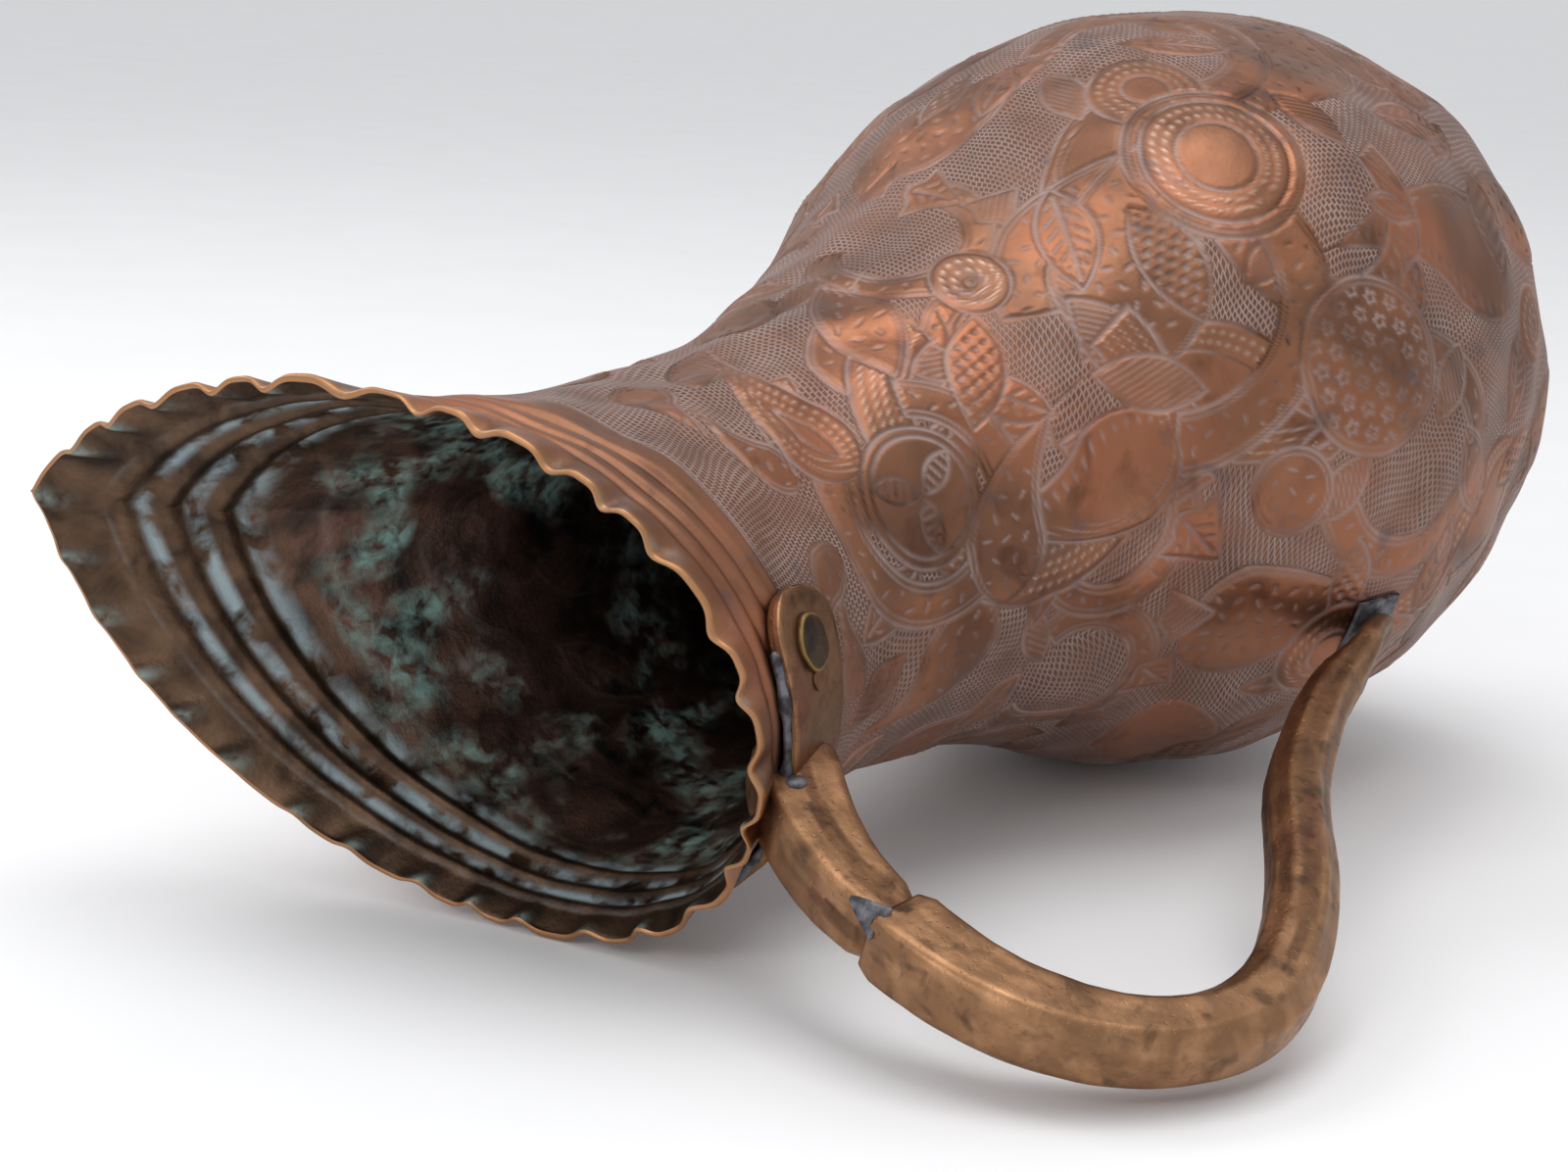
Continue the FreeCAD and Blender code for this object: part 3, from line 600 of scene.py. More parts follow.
# %% The inside of the sheet
LINING_SKIP = 2
SHOW_THROUGH = 0.10
lining_rows = np.concatenate([np.arange(4, len(body_rows), LINING_SKIP),
                              np.arange(len(body_rows), len(rows))])
lining_columns = np.arange(0, COLUMNS, LINING_SKIP)
pick = np.ix_(lining_rows, lining_columns)
inside_shape = (dents - SHOW_THROUGH * fields["line"] + SHOW_THROUGH * fields["dots"]) * base_fade
inner = skin - skin_normal * (WALL + relief - inside_shape)[..., None]
inner_picked = inner[pick]
inner_picked[-1] = inner_edge[::LINING_SKIP]
lining = make_mesh("vessel_lining", inner_picked.reshape(-1, 3),
                   grid_faces(len(lining_rows), len(lining_columns), inward=True))
for name, field in (("line", fields["line"]), ("crimp", crimp), ("bead", bead),
                    ("down", edge_distance(run_grid, angle_grid))):
    add_attribute(lining, name, field[pick])
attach(lining, "root")
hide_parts("vessel_wall")
print("lining", len(lining.data.vertices), "points")

# %% [markdown]
# The handle was forged in two pieces. A flat strap with rounded ends wraps the back of the
# neck, and its middle is drawn out into a square stem. The bar is butted on the stem, its
# edges hammered into wide bevels, and it ends in a leaf that lies on the belly.

# %% The way of the handle
SADDLE_HEIGHT = 239.5
HANDLE_REACH = 134.5
HANDLE_CREST = 257.5
FOOT_HEIGHT = 92.0
FOOT_LEAN = 5.0
FOOT_THICKNESS = 5.0
NOTCH_REACH = 86.0


def radius_at(height):
    return np.interp(height, profile[:, 1], profile[:, 0])


def neck_skin(height, angle):
    """Point and outward direction of the neck's outside at a height and an angle."""
    shares = np.linspace(-0.1, 1.0, 400)
    column = skin_point(BODY_RUN + shares * FLARE_RUN, angle)
    point = np.array([np.interp(height, column[:, 2], column[:, k]) for k in range(3)])
    step = np.array([np.interp(height + 0.5, column[:, 2], column[:, k]) for k in range(3)]) - point
    run = BODY_RUN + np.interp(height, column[:, 2], shares) * FLARE_RUN
    sideways = skin_point(run, angle + 0.01) - point
    normal = np.cross(sideways, step)
    return point, normal / np.linalg.norm(normal)


neck_reach = -neck_skin(SADDLE_HEIGHT, math.pi)[0][0]
BAR_WAY = ((0.025, 0.22), (0.0, 0.45), (0.015, 0.70), (0.085, 0.90), (0.21, 1.0),
           (0.35, 0.94), (0.47, 0.81), (0.58, 0.66), (0.69, 0.56))
FOOT_WAY = ((31, 21.5), (17, 9.6), (8, 2.6), (0, 0))
way = [(-neck_reach + WALL, SADDLE_HEIGHT + 1.0)]
for down, out in BAR_WAY:
    way.append((-(neck_reach + out * (HANDLE_REACH - neck_reach)),
                HANDLE_CREST - down * (HANDLE_CREST - FOOT_HEIGHT)))
for lift, gap in FOOT_WAY:
    height = FOOT_HEIGHT + lift
    way.append((-radius_at(height) - 0.2 - FOOT_THICKNESS / 2 - gap * 0.78, height))
way = np.array(way)


def smooth_way(points, count):
    """A cubic spline through the points with continuous bending, sampled evenly."""
    knots = np.r_[0, np.cumsum(np.linalg.norm(np.diff(points, axis=0), axis=1))]
    gaps = np.diff(knots)
    size = len(points)
    system = np.zeros((size, size))
    target = np.zeros((size, points.shape[1]))
    system[0, 0] = system[-1, -1] = 1
    for k in range(1, size - 1):
        system[k, k - 1:k + 2] = gaps[k - 1], 2 * (gaps[k - 1] + gaps[k]), gaps[k]
        target[k] = 6 * ((points[k + 1] - points[k]) / gaps[k] - (points[k] - points[k - 1]) / gaps[k - 1])
    bend = np.linalg.solve(system, target)
    spots = np.linspace(0, knots[-1], count)
    cell = np.clip(np.searchsorted(knots, spots, side="right") - 1, 0, size - 2)
    h = gaps[cell][:, None]
    a = (knots[cell + 1] - spots)[:, None] / h
    b = 1 - a
    curve = (a ** 3 - a) * bend[cell] + (b ** 3 - b) * bend[cell + 1]
    return a * points[cell] + b * points[cell + 1] + curve * h ** 2 / 6


line = smooth_way(way, 1200)
lean = FOOT_LEAN * (HANDLE_CREST - line[:, 1]) / (HANDLE_CREST - FOOT_HEIGHT)
lean = np.where(line[:, 0] > -HANDLE_REACH * 0.5, lean * np.clip((-line[:, 0] - 46) / 21, 0, 1), lean)
line_run = np.r_[0, np.cumsum(np.linalg.norm(np.diff(line, axis=0), axis=1))]
notch = line_run[np.argmax(line[:, 0] < -NOTCH_REACH)]
print("handle is", round(line_run[-1]), "mm long, and the bar starts at", round(notch))


# %% A bar lofted along the way
def octagon_reach(turn, half_wide, half_deep, bevel, softness):
    """Distance from the middle to a soft-edged octagon in each direction."""
    cos, sin = np.cos(turn), np.sin(turn)
    slant = (half_wide + half_deep - bevel) / math.sqrt(2)
    gaps = [np.abs(cos) / half_wide, np.abs(sin) / half_deep,
            np.abs(cos + sin) / math.sqrt(2) / slant, np.abs(cos - sin) / math.sqrt(2) / slant]
    return sum(gap ** softness for gap in gaps) ** (-1 / softness)


def loft(name, start, end, sections, count, seed, tip=0.0, ring=56):
    """A closed bar between two places on the way. sections: (place, wide, deep, bevel)."""
    places = np.linspace(start, end, count)
    keys = np.array(sections, dtype=float)
    wide, deep, bevel = [np.interp(places, keys[:, 0], keys[:, k]) for k in (1, 2, 3)]
    if tip:
        round_off = np.sqrt(np.clip(1 - np.clip((places - (end - tip)) / tip, 0, 0.995) ** 2, 0, 1))
        wide = wide * round_off
        deep = deep * (0.35 + 0.65 * round_off)
    centre = np.stack([np.interp(places, line_run, line[:, k]) for k in (0, 1)], axis=1)
    ahead = np.gradient(centre, axis=0)
    ahead = ahead / np.linalg.norm(ahead, axis=1, keepdims=True)
    turn, place = np.meshgrid(np.linspace(0, 2 * np.pi, ring, endpoint=False), places)
    half = wide[:, None] / 2, deep[:, None] / 2, bevel[:, None]
    reach = octagon_reach(turn, *half, FORGED_EDGE) + 0.10 * waves(turn, place, (30, 16), seed + 9) \
        - BAR_MARKS * hammer_marks(turn * 6.0, place, 6.0, seed)
    over = reach * np.cos(turn) + np.interp(places, line_run, lean)[:, None]
    out = reach * np.sin(turn)
    normal = np.stack([ahead[:, 1], -ahead[:, 0]], axis=1)
    x = centre[:, :1] + normal[:, :1] * out
    z = centre[:, 1:] + normal[:, 1:] * out
    points = np.stack([x, over, z], axis=-1)
    ends = [points[0].mean(axis=0), points[-1].mean(axis=0)]
    first_rows = [ends[0] + (points[0] - ends[0]) * share for share in (0.02, 0.5, 0.94)]
    last_rows = [ends[1] + (points[-1] - ends[1]) * share for share in (0.94, 0.5, 0.02)]
    points = np.concatenate([first_rows, points, last_rows])
    item = make_mesh(name, points.reshape(-1, 3), grid_faces(len(points), ring))
    close_ends(item)
    # The corners of the section, which the bronze paints lighter: a painted highlight along the ridges as
    # well as rubbing.
    edge = np.clip((octagon_reach(turn, *half, 400) - octagon_reach(turn, *half, 12)) / 0.35, 0, 1)
    add_attribute(item, "worn_edge_highlight", np.pad(edge, ((3, 3), (0, 0))))
    return item


def close_ends(item):
    """Closes the open rims of a tube and makes its faces point outwards."""
    work = bmesh.new()
    work.from_mesh(item.data)
    bmesh.ops.holes_fill(work, edges=[edge for edge in work.edges if edge.is_boundary])
    bmesh.ops.recalc_face_normals(work, faces=work.faces)
    work.to_mesh(item.data)
    work.free()
    item.data.update()

FORGED_EDGE = 90
BAR_MARKS = 0.12
END = line_run[-1]
bar = loft("handle_bar_forged", notch - 1.0, END, (
    (notch - 1.0, 11.9, 12.9, 1.4), (notch + 2.0, 12.9, 13.6, 0.9), (notch + 10, 13.2, 13.6, 1.3),
    (notch + 30, 13.4, 13.6, 2.2), (notch + 60, 13.2, 13.4, 3.4), (END - 80, 11.8, 12.0, 3.4),
    (END - 50, 11.0, 11.0, 2.8), (END - 32, 11.2, 9.4, 2.4), (END - 16, 13.2, 5.4, 1.4),
    (END, 9.5, 3.6, 1.2)), 420, seed=21, tip=9.0)
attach(bar, "root")
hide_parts("handle_bar")
stem = loft("handle_stem", 0.0, notch + 1.0, (
    (0.0, 12.0, 15.0, 1.6), (6.0, 12.8, 15.4, 1.2), (14.0, 12.6, 14.4, 0.9),
    (0.0, 12.0, 15.0, 1.6), (6.0, 12.8, 15.4, 1.2), (14.0, 12.6, 14.4, 0.9),
    (notch - 12, 12.2, 12.6, 0.9), (notch - 5, 12.0, 12.4, 1.6), (notch + 1.0, 11.0, 11.6, 3.8)),
    110, seed=33)
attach(stem, "root")
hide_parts("handle_saddle")
print("bar and stem", len(bar.data.vertices), len(stem.data.vertices))

# %% [markdown]
# Where the bar was butted on the stem, the stem's corner was filed away and the gap filled
# with grey solder, which stands as a small wedge against the step.

# %% The wedge of solder at the joint
def along_bar(place, over, out):
    """A point beside the way: over is sideways and out is away from the jug."""
    centre = np.array([np.interp(place, line_run, line[:, k]) for k in (0, 1)])
    step = np.array([np.interp(place + 0.5, line_run, line[:, k]) for k in (0, 1)]) - centre
    step = step / np.linalg.norm(step)
    out_way = np.array([step[1] * out, -step[0] * out])
    return np.array([centre[0] + out_way[0], np.interp(place, line_run, lean) + over,
                     centre[1] + out_way[1]])


def wedge(name, tip, foot, half_wide, height):
    """A low heap that grows from a thin tip to a foot against the bar's step."""
    steps = np.linspace(0, 1, 16)
    turn = np.linspace(0, 2 * np.pi, 20, endpoint=False)
    points = []
    for step in steps:
        centre = tip * (1 - step) + foot * step
        wide = half_wide * (0.12 + 0.88 * step ** 0.8)
        tall = height * (0.15 + 0.85 * step)
        points.append(centre + (wide * np.cos(turn))[:, None] * WEDGE_ACROSS
                      + (tall * np.sin(turn))[:, None] * WEDGE_UP)
    item = make_mesh(name, np.concatenate(points), grid_faces(16, 20))
    close_ends(item)
    return item


WEDGE_UP = np.array([0.15, -0.70, 0.70])
WEDGE_ACROSS = np.cross(WEDGE_UP, [1.0, 0.0, 0.0])
WEDGE_ACROSS = WEDGE_ACROSS / np.linalg.norm(WEDGE_ACROSS)
notch_solder = wedge("notch_solder", along_bar(notch - 6.5, -5.3, 5.5),
                     along_bar(notch + 0.2, -4.8, 5.0), 3.2, 0.8)
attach(notch_solder, "root")
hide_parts("bar_braze")
print("wedge of solder", len(notch_solder.data.vertices), "points")

# %% [markdown]
# The strap follows the neck, so it is a grid wrapped on the flare: its outline is a long
# lozenge with round ends, its edges are rounded over, and its face is dished by the hammer.

# %% The strap around the neck
ARM_SPAN = 36.0
STRAP_WIDTH = 18.6
STRAP_THICKNESS = 2.6
STRAP_GAP = 0.25


def wrap(across, height, lift):
    """Points on the back of the neck: across in millimetres around it, lift off its skin."""
    spots = np.empty(np.broadcast(across, height).shape + (3,))
    across, height, lift = np.broadcast_arrays(across, height, lift)
    for place in np.ndindex(across.shape):
        turn = math.pi - across[place] / (neck_reach + 1.5)
        point, normal = neck_skin(height[place], turn)
        spots[place] = point + normal * lift[place]
    return spots


def strap_mesh():
    """The strap as rings around its thickness, one ring for each step along the arms."""
    steps = np.linspace(-ARM_SPAN, ARM_SPAN, 97)
    ring_turn = np.linspace(0, 2 * np.pi, 44, endpoint=False)
    half = STRAP_WIDTH / 2
    end_gap = np.clip(np.abs(steps) - (ARM_SPAN - half), 0, half)
    half_width = np.sqrt(np.clip(half ** 2 - end_gap ** 2, 0.15, None))
    reach = octagon_reach(ring_turn, 1.0, 1.0, 0.0, 1000)
    side = np.cos(ring_turn) * reach
    top = np.sin(ring_turn) * reach
    height = SADDLE_HEIGHT + half_width[:, None] * side * 0.999
    rounding = 0.55 * np.exp(-((1 - np.abs(side)) * half_width[:, None] / 0.7) ** 2)
    dish = 0.14 * hammer_marks(steps[:, None] + 0 * side, height, 6.5, 8)
    lift = np.where(top > 0, STRAP_THICKNESS - rounding - dish, 0.0)
    wall = np.abs(np.abs(side) - 1) < 1e-6
    lift = np.where(wall, STRAP_THICKNESS * (top * 0.5 + 0.5) - 0.1, lift)
    points = wrap(steps[:, None], height, lift + STRAP_GAP)
    item = make_mesh("handle_strap", points.reshape(-1, 3), grid_faces(len(steps), len(ring_turn)))
    close_ends(item)
    # The rounded edges of the strap's face, which the bronze paints lighter: a painted highlight as well as
    # rubbing.
    add_attribute(item, "worn_edge_highlight", np.clip(rounding / 0.5, 0, 1) * (top > 0))
    return item


strap = strap_mesh()
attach(strap, "root")
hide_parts("handle_saddle")
print("strap", len(strap.data.vertices))

# %% [markdown]
# Two rivets hold the strap. Each was hammered down to a low oval dome with a thin worn rim.
# A small round plug sits beside one of them, partly under its head.

# %% Rivets and plug
RIVET_ANGLE = 30.0
HEAD_SIZE = (5.2, 4.6, 1.3)
TAIL_SIZE = (3.9, 3.7, 0.8)
PLUG_SIZE = (2.5, 2.5, 0.55)
PLUG_ANGLE = 22.4


def dome(name, angle, height, half_across, half_up, rise, base_lift, inward=False):
    """A low hammered dome seated on the strap."""
    point, normal = neck_skin(height, math.radians(180 - angle))
    across = np.cross([0, 0, 1.0], normal)
    across = across / np.linalg.norm(across)
    up = np.cross(normal, across)
    if inward:
        normal = -normal
    ring_turn = np.linspace(0, 2 * np.pi, 48, endpoint=False)
    shares = np.array([1.0, 1.0, 0.985, 0.94, 0.86, 0.74, 0.58, 0.38, 0.16])[:, None]
    lifts = np.array([-0.6, 0.35, 0.62, 0.78, 0.74, 0.86, 0.95, 1.0, 1.0])[:, None]
    source = np.random.default_rng(int(abs(angle) * 10) + 3)
    wobble = 1 + 0.03 * np.sin(2 * ring_turn + source.uniform(0, 6)) + 0.02 * np.sin(5 * ring_turn)
    x = half_across * shares * np.cos(ring_turn) * wobble
    y = half_up * shares * np.sin(ring_turn) * wobble
    lift = base_lift + rise * lifts + 0.09 * np.sin(x * 1.7 + 1) * np.sin(y * 1.9) * (shares < 0.9)
    points = point + x[..., None] * across + y[..., None] * up + lift[..., None] * normal
    item = make_mesh(name, points.reshape(-1, 3), grid_faces(len(shares), len(ring_turn)))
    close_ends(item)
    rim = np.exp(-((shares - 0.95) / 0.045) ** 2)
    add_attribute(item, "rim", np.repeat(rim, len(ring_turn)))
    return item


STRAP_FACE = STRAP_GAP + STRAP_THICKNESS
rivet_parts = []
for side, node in ((1, "saddle_rivet_near"), (-1, "saddle_rivet_far")):
    name = node[-4:].strip("_")
    head = dome("rivet_head_" + name, -side * RIVET_ANGLE, SADDLE_HEIGHT, *HEAD_SIZE, STRAP_FACE)
    tail = dome("rivet_tail_" + name, -side * RIVET_ANGLE, SADDLE_HEIGHT, *TAIL_SIZE,
                WALL + 0.1, inward=True)
    for item in (head, tail):
        rivet_parts.append(item)
        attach(item, "root")
        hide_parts(node)
plug = dome("strap_plug", -PLUG_ANGLE, SADDLE_HEIGHT - 0.8, *PLUG_SIZE, STRAP_FACE)
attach(plug, "root")
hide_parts("saddle_plug")
print("rivets and plug", [item.name for item in rivet_parts + [plug]])

# %% [markdown]
# Soft solder was run along the top of the strap and pooled where the stem leaves it. Solder
# freezes in lumps, so the seam is a thin tube whose thickness wanders.

# %% The solder seam
def lumpy_tube(name, spots, thickness, seed, ring=14):
    source = np.random.default_rng(seed)
    count = len(spots)
    steps = np.arange(count)
    wander = sum(np.sin(steps / length + source.uniform(0, 6)) for length in (1.7, 3.1, 5.3)) / 3
    radius = thickness * (0.85 + 0.35 * wander)
    ahead = np.gradient(spots, axis=0)
    ahead = ahead / np.linalg.norm(ahead, axis=1, keepdims=True)
    side = np.cross(ahead, [0, 0, 1.0])
    side = side / np.linalg.norm(side, axis=1, keepdims=True)
    up = np.cross(side, ahead)
    turn = np.linspace(0, 2 * np.pi, ring, endpoint=False)
    radius[[0, -1]] = radius[[0, -1]] * 0.4
    points = spots[:, None] + radius[:, None, None] * (np.cos(turn)[:, None] * side[:, None] * 0.9
                                                       + np.sin(turn)[:, None] * up[:, None])
    item = make_mesh(name, points.reshape(-1, 3), grid_faces(count, ring))
    close_ends(item)
    return item


TOP_EDGE = SADDLE_HEIGHT + STRAP_WIDTH / 2
seam = lumpy_tube("strap_solder_seam", wrap(np.linspace(-27.5, 27.5, 90), TOP_EDGE + 0.3, 1.0), 1.15, 4)
pool = lumpy_tube("strap_solder_pool", wrap(np.linspace(-6.0, 6.0, 30), TOP_EDGE + 1.2, 3.2), 2.3, 6)
for item in (seam, pool):
    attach(item, "root")
    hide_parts("saddle_solder")
print("solder laid")

# %% [markdown]
# The finishes are all built from nodes. One helper adds a node with its settings, its
# constant inputs and its links, and another turns the hex colours that people read into
# the linear values that a shader needs.

# %% Helpers for materials
def linear(hex_code, alpha=1.0):
    channels = [int(hex_code[k:k + 2], 16) / 255 for k in (0, 2, 4)]
    return tuple(c / 12.92 if c <= 0.04045 else ((c + 0.055) / 1.055) ** 2.4 for c in channels) + (alpha,)
def add(tree, kind, inputs=None, out=0, **settings):
    """Adds one node and returns one of its outputs. Each input is a number, a vector, a hex colour
    or another node's output, which is linked."""
    item = tree.nodes.new("ShaderNode" + kind)
    for name, value in settings.items():
        setattr(item, name, value)
    for key, value in (inputs or {}).items():
        if isinstance(value, bpy.types.NodeSocket):
            tree.links.new(value, item.inputs[key])
        else:
            item.inputs[key].default_value = linear(value) if isinstance(value, str) else value
    return item.outputs[out] if item.outputs else None


def start_material(name):
    """A material, the function that adds its nodes, and the object's place in millimetres."""
    material = bpy.data.materials.new(name)
    material.use_nodes = True
    material.node_tree.nodes.clear()
    node = partial(add, material.node_tree)
    metres = node("TexCoord", out="Object")
    return material, node, node("VectorMath", {0: metres, 1: (1000.0,) * 3}, operation="MULTIPLY")


def patches(node, place, size, low, high, detail=3.0, warp=0.0, seed=0.0):
    """Soft patches of a size in millimetres: 0 where the noise is under low, 1 where it is over high."""
    noise = node("TexNoise", {"Vector": place, "Scale": 1.0 / size, "Detail": detail,
                              "Distortion": warp, "W": seed}, noise_dimensions="4D")
    return node("MapRange", {"Value": noise, "From Min": low, "From Max": high})


def overlap(node, *masks):
    """Where all the masks are, as their product. A mask is an output or a plain strength."""
    share = masks[0]
    for mask in masks[1:]:
        share = node("Math", {0: share, 1: mask}, operation="MULTIPLY")
    return share


def layer(node, below, colour, *masks):
    """Lays a colour over what is below it where all the masks are."""
    return node("Mix", {0: overlap(node, *masks), 6: below, 7: colour}, out=2, data_type="RGBA")


def finish_metal(node, colour, roughness, metallic, height, strength, depth):
    """The shader and the output, with a relief of the given depth in metres."""
    bump = node("Bump", {"Height": height, "Strength": strength, "Distance": depth})
    shader = node("BsdfPrincipled", {"Base Color": colour, "Roughness": roughness,
                                     "Metallic": metallic, "Normal": bump})
    node("OutputMaterial", {"Surface": shader})


print("a mid copper brown in linear light", linear("976A50"))
# %% [markdown]
# ** Chased copper.** Old copper that was last polished years ago: brown, pinker in broad
# patches. The punched ground is rows of tiny dashes about a millimetre apart, with a painted
# sheen, pale lilac, on the ridges between them, and a dried polish, pale lilac, lies in every groove.

# %% Chased copper
def chased_copper():
    material, node, place = start_material("chased_copper")
    line, ground, dots, edge, crimp, flare = [
        node("Attribute", out="Fac", attribute_name=name)
        for name in ("line", "ground", "dots", "edge", "crimp", "flare")]

    # Rows of punched dashes, bent by a slow noise so that they don't run dead straight.
    warp = node("TexNoise", {"Vector": place, "Scale": 0.035, "Detail": 2.0}, out="Color")
    shifted = node("VectorMath", {0: warp, 1: (9.0, 9.0, 0.0)}, operation="MULTIPLY")
    path = node("VectorMath", {0: node("UVMap", uv_map="sheet"), 1: shifted}, operation="ADD")
    ridge = node("TexBrick", {"Vector": path, "Scale": 1.0, "Mortar Size": 0.30, "Mortar Smooth": 0.7,
                              "Brick Width": 1.35, "Row Height": 1.15}, out="Fac", offset=0.5)
    uneven = node("Math", {0: patches(node, place, 9.0, 0.35, 0.7), 1: 0.6, 2: 0.4},
                  operation="MULTIPLY_ADD")
    punched = overlap(node, ridge, ground, uneven)

    # The brown of the metal, then what lies in the grooves, with a painted sheen on the ridges of the punched
    # ground and a painted glint on the raised dots, then the worn edge and the crust.
    brown = layer(node, "735140", "976A50", patches(node, place, 30.0, 0.38, 0.62, 6.0, 0.7))
    brown = layer(node, brown, "A0634A", patches(node, place, 30.0, 0.46, 0.70, 3.0, 0.4, 3.0), 0.6)
    brown = layer(node, brown, "4A3025", patches(node, place, 12.0, 0.56, 0.72, 5.0, 0.8, 7.0), 0.6)
    brown = layer(node, brown, "5E4337", ground, 0.5)
    polish = patches(node, place, 16.0, 0.35, 0.62, 4.0, 0.3, 11.0)
    # Pale lilac mask: a painted sheen on the ridges of the punched ground, and dried polish in the grooves.
    polish_and_sheen = node("Math", {0: overlap(node, punched, 0.85), 1: overlap(node, line, polish, 0.8)},
                   operation="MAXIMUM")
    empty = node("Math", {0: polish, 1: -0.75, 2: 0.75}, operation="MULTIPLY_ADD")
    brown = layer(node, brown, "3B2820", line, empty)
    # Pale lilac: painted sheen on the ground's ridges and dried polish in the grooves.
    coloured = layer(node, brown, "A4928E", polish_and_sheen)
    # Pale on the raised punched dots: a painted glint on their crowns.
    coloured = layer(node, coloured, "B9A091", dots, 0.75)
    slate = patches(node, place, 11.0, 0.60, 0.72, 6.0, 0.9, 33.0)
    coloured = layer(node, coloured, "55525A", slate, 0.5)
    green = patches(node, place, 4.0, 0.50, 0.66, 3.0, 0.2, 13.0)
    coloured = layer(node, coloured, "93A7A3", green, flare, crimp, 0.5)
    coloured = layer(node, coloured, "B98A62", edge, 0.7)

    rubbed = node("Math", {0: patches(node, place, 22.0, 0.3, 0.7, 4.0, 0.2, 17.0), 1: 0.16, 2: 0.36},
                  operation="MULTIPLY_ADD")
    roughness = node("Math", {0: polish_and_sheen, 1: 0.25, 2: rubbed}, operation="MULTIPLY_ADD", use_clamp=True)
    metallic = node("Math", {0: polish_and_sheen, 1: -0.55, 2: 1.0}, operation="MULTIPLY_ADD")
    scratches = node("TexNoise", {"Vector": place, "Scale": 0.9, "Detail": 4.0, "Roughness": 0.7})
    height = node("Math", {0: punched, 1: 0.6, 2: overlap(node, scratches, 0.22)},
                  operation="MULTIPLY_ADD")
    finish_metal(node, coloured, roughness, metallic, height, 1.0, 0.00022)
    return material


copper = chased_copper()
vessel.data.materials.append(copper)
print(copper.name, "ready")


# %% [markdown]
# ** Copper lining.** Never polished: dark brown oxide, with pale teal verdigris in clouds on the
# throat and as a crust in the hollows beside the beads. Further down towards the belly it goes nearly black.

# %% Oxidised copper lining
def copper_lining():
    material, node, place = start_material("oxidised_copper_lining")
    down, bead, crimp, line = [node("Attribute", out="Fac", attribute_name=name)
                               for name in ("down", "bead", "crimp", "line")]

    # Bands by the distance down from the edge, in millimetres.
    throat, deep, band, band_end = [
        node("MapRange", {"Value": down, "From Min": start, "From Max": end})
        for start, end in ((30.0, 46.0), (88.0, 125.0), (9.0, 11.5), (36.0, 31.0))]
    age = patches(node, place, 9.0, 0.36, 0.64, 6.0, 0.8)
    flare_brown = layer(node, "3C2E24", "6A5240", age)
    base = layer(node, flare_brown, layer(node, "463832", "7A5A4D", age), throat)
    black = patches(node, place, 14.0, 0.52, 0.66, 5.0, 1.0, 5.0)
    base = layer(node, base, "2A2826", black, throat)

    # Verdigris: clouds on the throat, a crust between the beads, and specks in the crimps.
    cloud = patches(node, place, 24.0, 0.44, 0.60, 6.0, 0.9, 21.0)
    teal = overlap(node, cloud, patches(node, place, 3.5, 0.38, 0.62, 4.0, 0.4, 23.0), throat)
    base = layer(node, base, "7FA39A", teal, 0.85)
    hollow = node("Math", {0: bead, 1: -1.4, 2: 1.0}, operation="MULTIPLY_ADD", use_clamp=True)
    hollow = node("Math", {0: hollow, 1: 3.0}, operation="POWER")
    crust = overlap(node, band, band_end, hollow, patches(node, place, 7.0, 0.40, 0.58, 5.0, 0.5, 31.0))
    base = layer(node, base, "9FB2B8", crust, 0.9)
    nips = overlap(node, node("Math", {0: crimp, 1: 3.0}, operation="POWER"),
                   patches(node, place, 3.0, 0.36, 0.56, 3.0, 0.2, 37.0))
    base = layer(node, base, "8FA5A0", nips, 0.8)
    base = layer(node, base, "8B7A70", line, throat, 0.35)
    # Nearly black further down inside, from 88 to 125 mm below the edge.
    base = layer(node, base, "1C1816", deep, 0.75)

    oxide = node("Math", {0: crust, 1: teal}, operation="MAXIMUM")
    oxide = node("Math", {0: oxide, 1: nips}, operation="MAXIMUM")
    metallic = node("Math", {0: 0.9, 1: oxide}, operation="SUBTRACT", use_clamp=True)
    roughness = node("Math", {0: oxide, 1: 0.35, 2: 0.45}, operation="MULTIPLY_ADD", use_clamp=True)
    grit = node("TexNoise", {"Vector": place, "Scale": 0.8, "Detail": 5.0, "Roughness": 0.7})
    height = node("Math", {0: oxide, 1: 0.5, 2: grit}, operation="MULTIPLY_ADD")
    finish_metal(node, base, roughness, metallic, height, 0.8, 0.00025)
    return material


lining.data.materials.append(copper_lining())
print("lining finish ready")


# %% [markdown]
# ** Cast bronze.** The handle is yellower than the body. Hammering and handling leave its bevels
# rubbed, their edges painted lighter as a painted highlight, with dark freckles where the casting was porous.

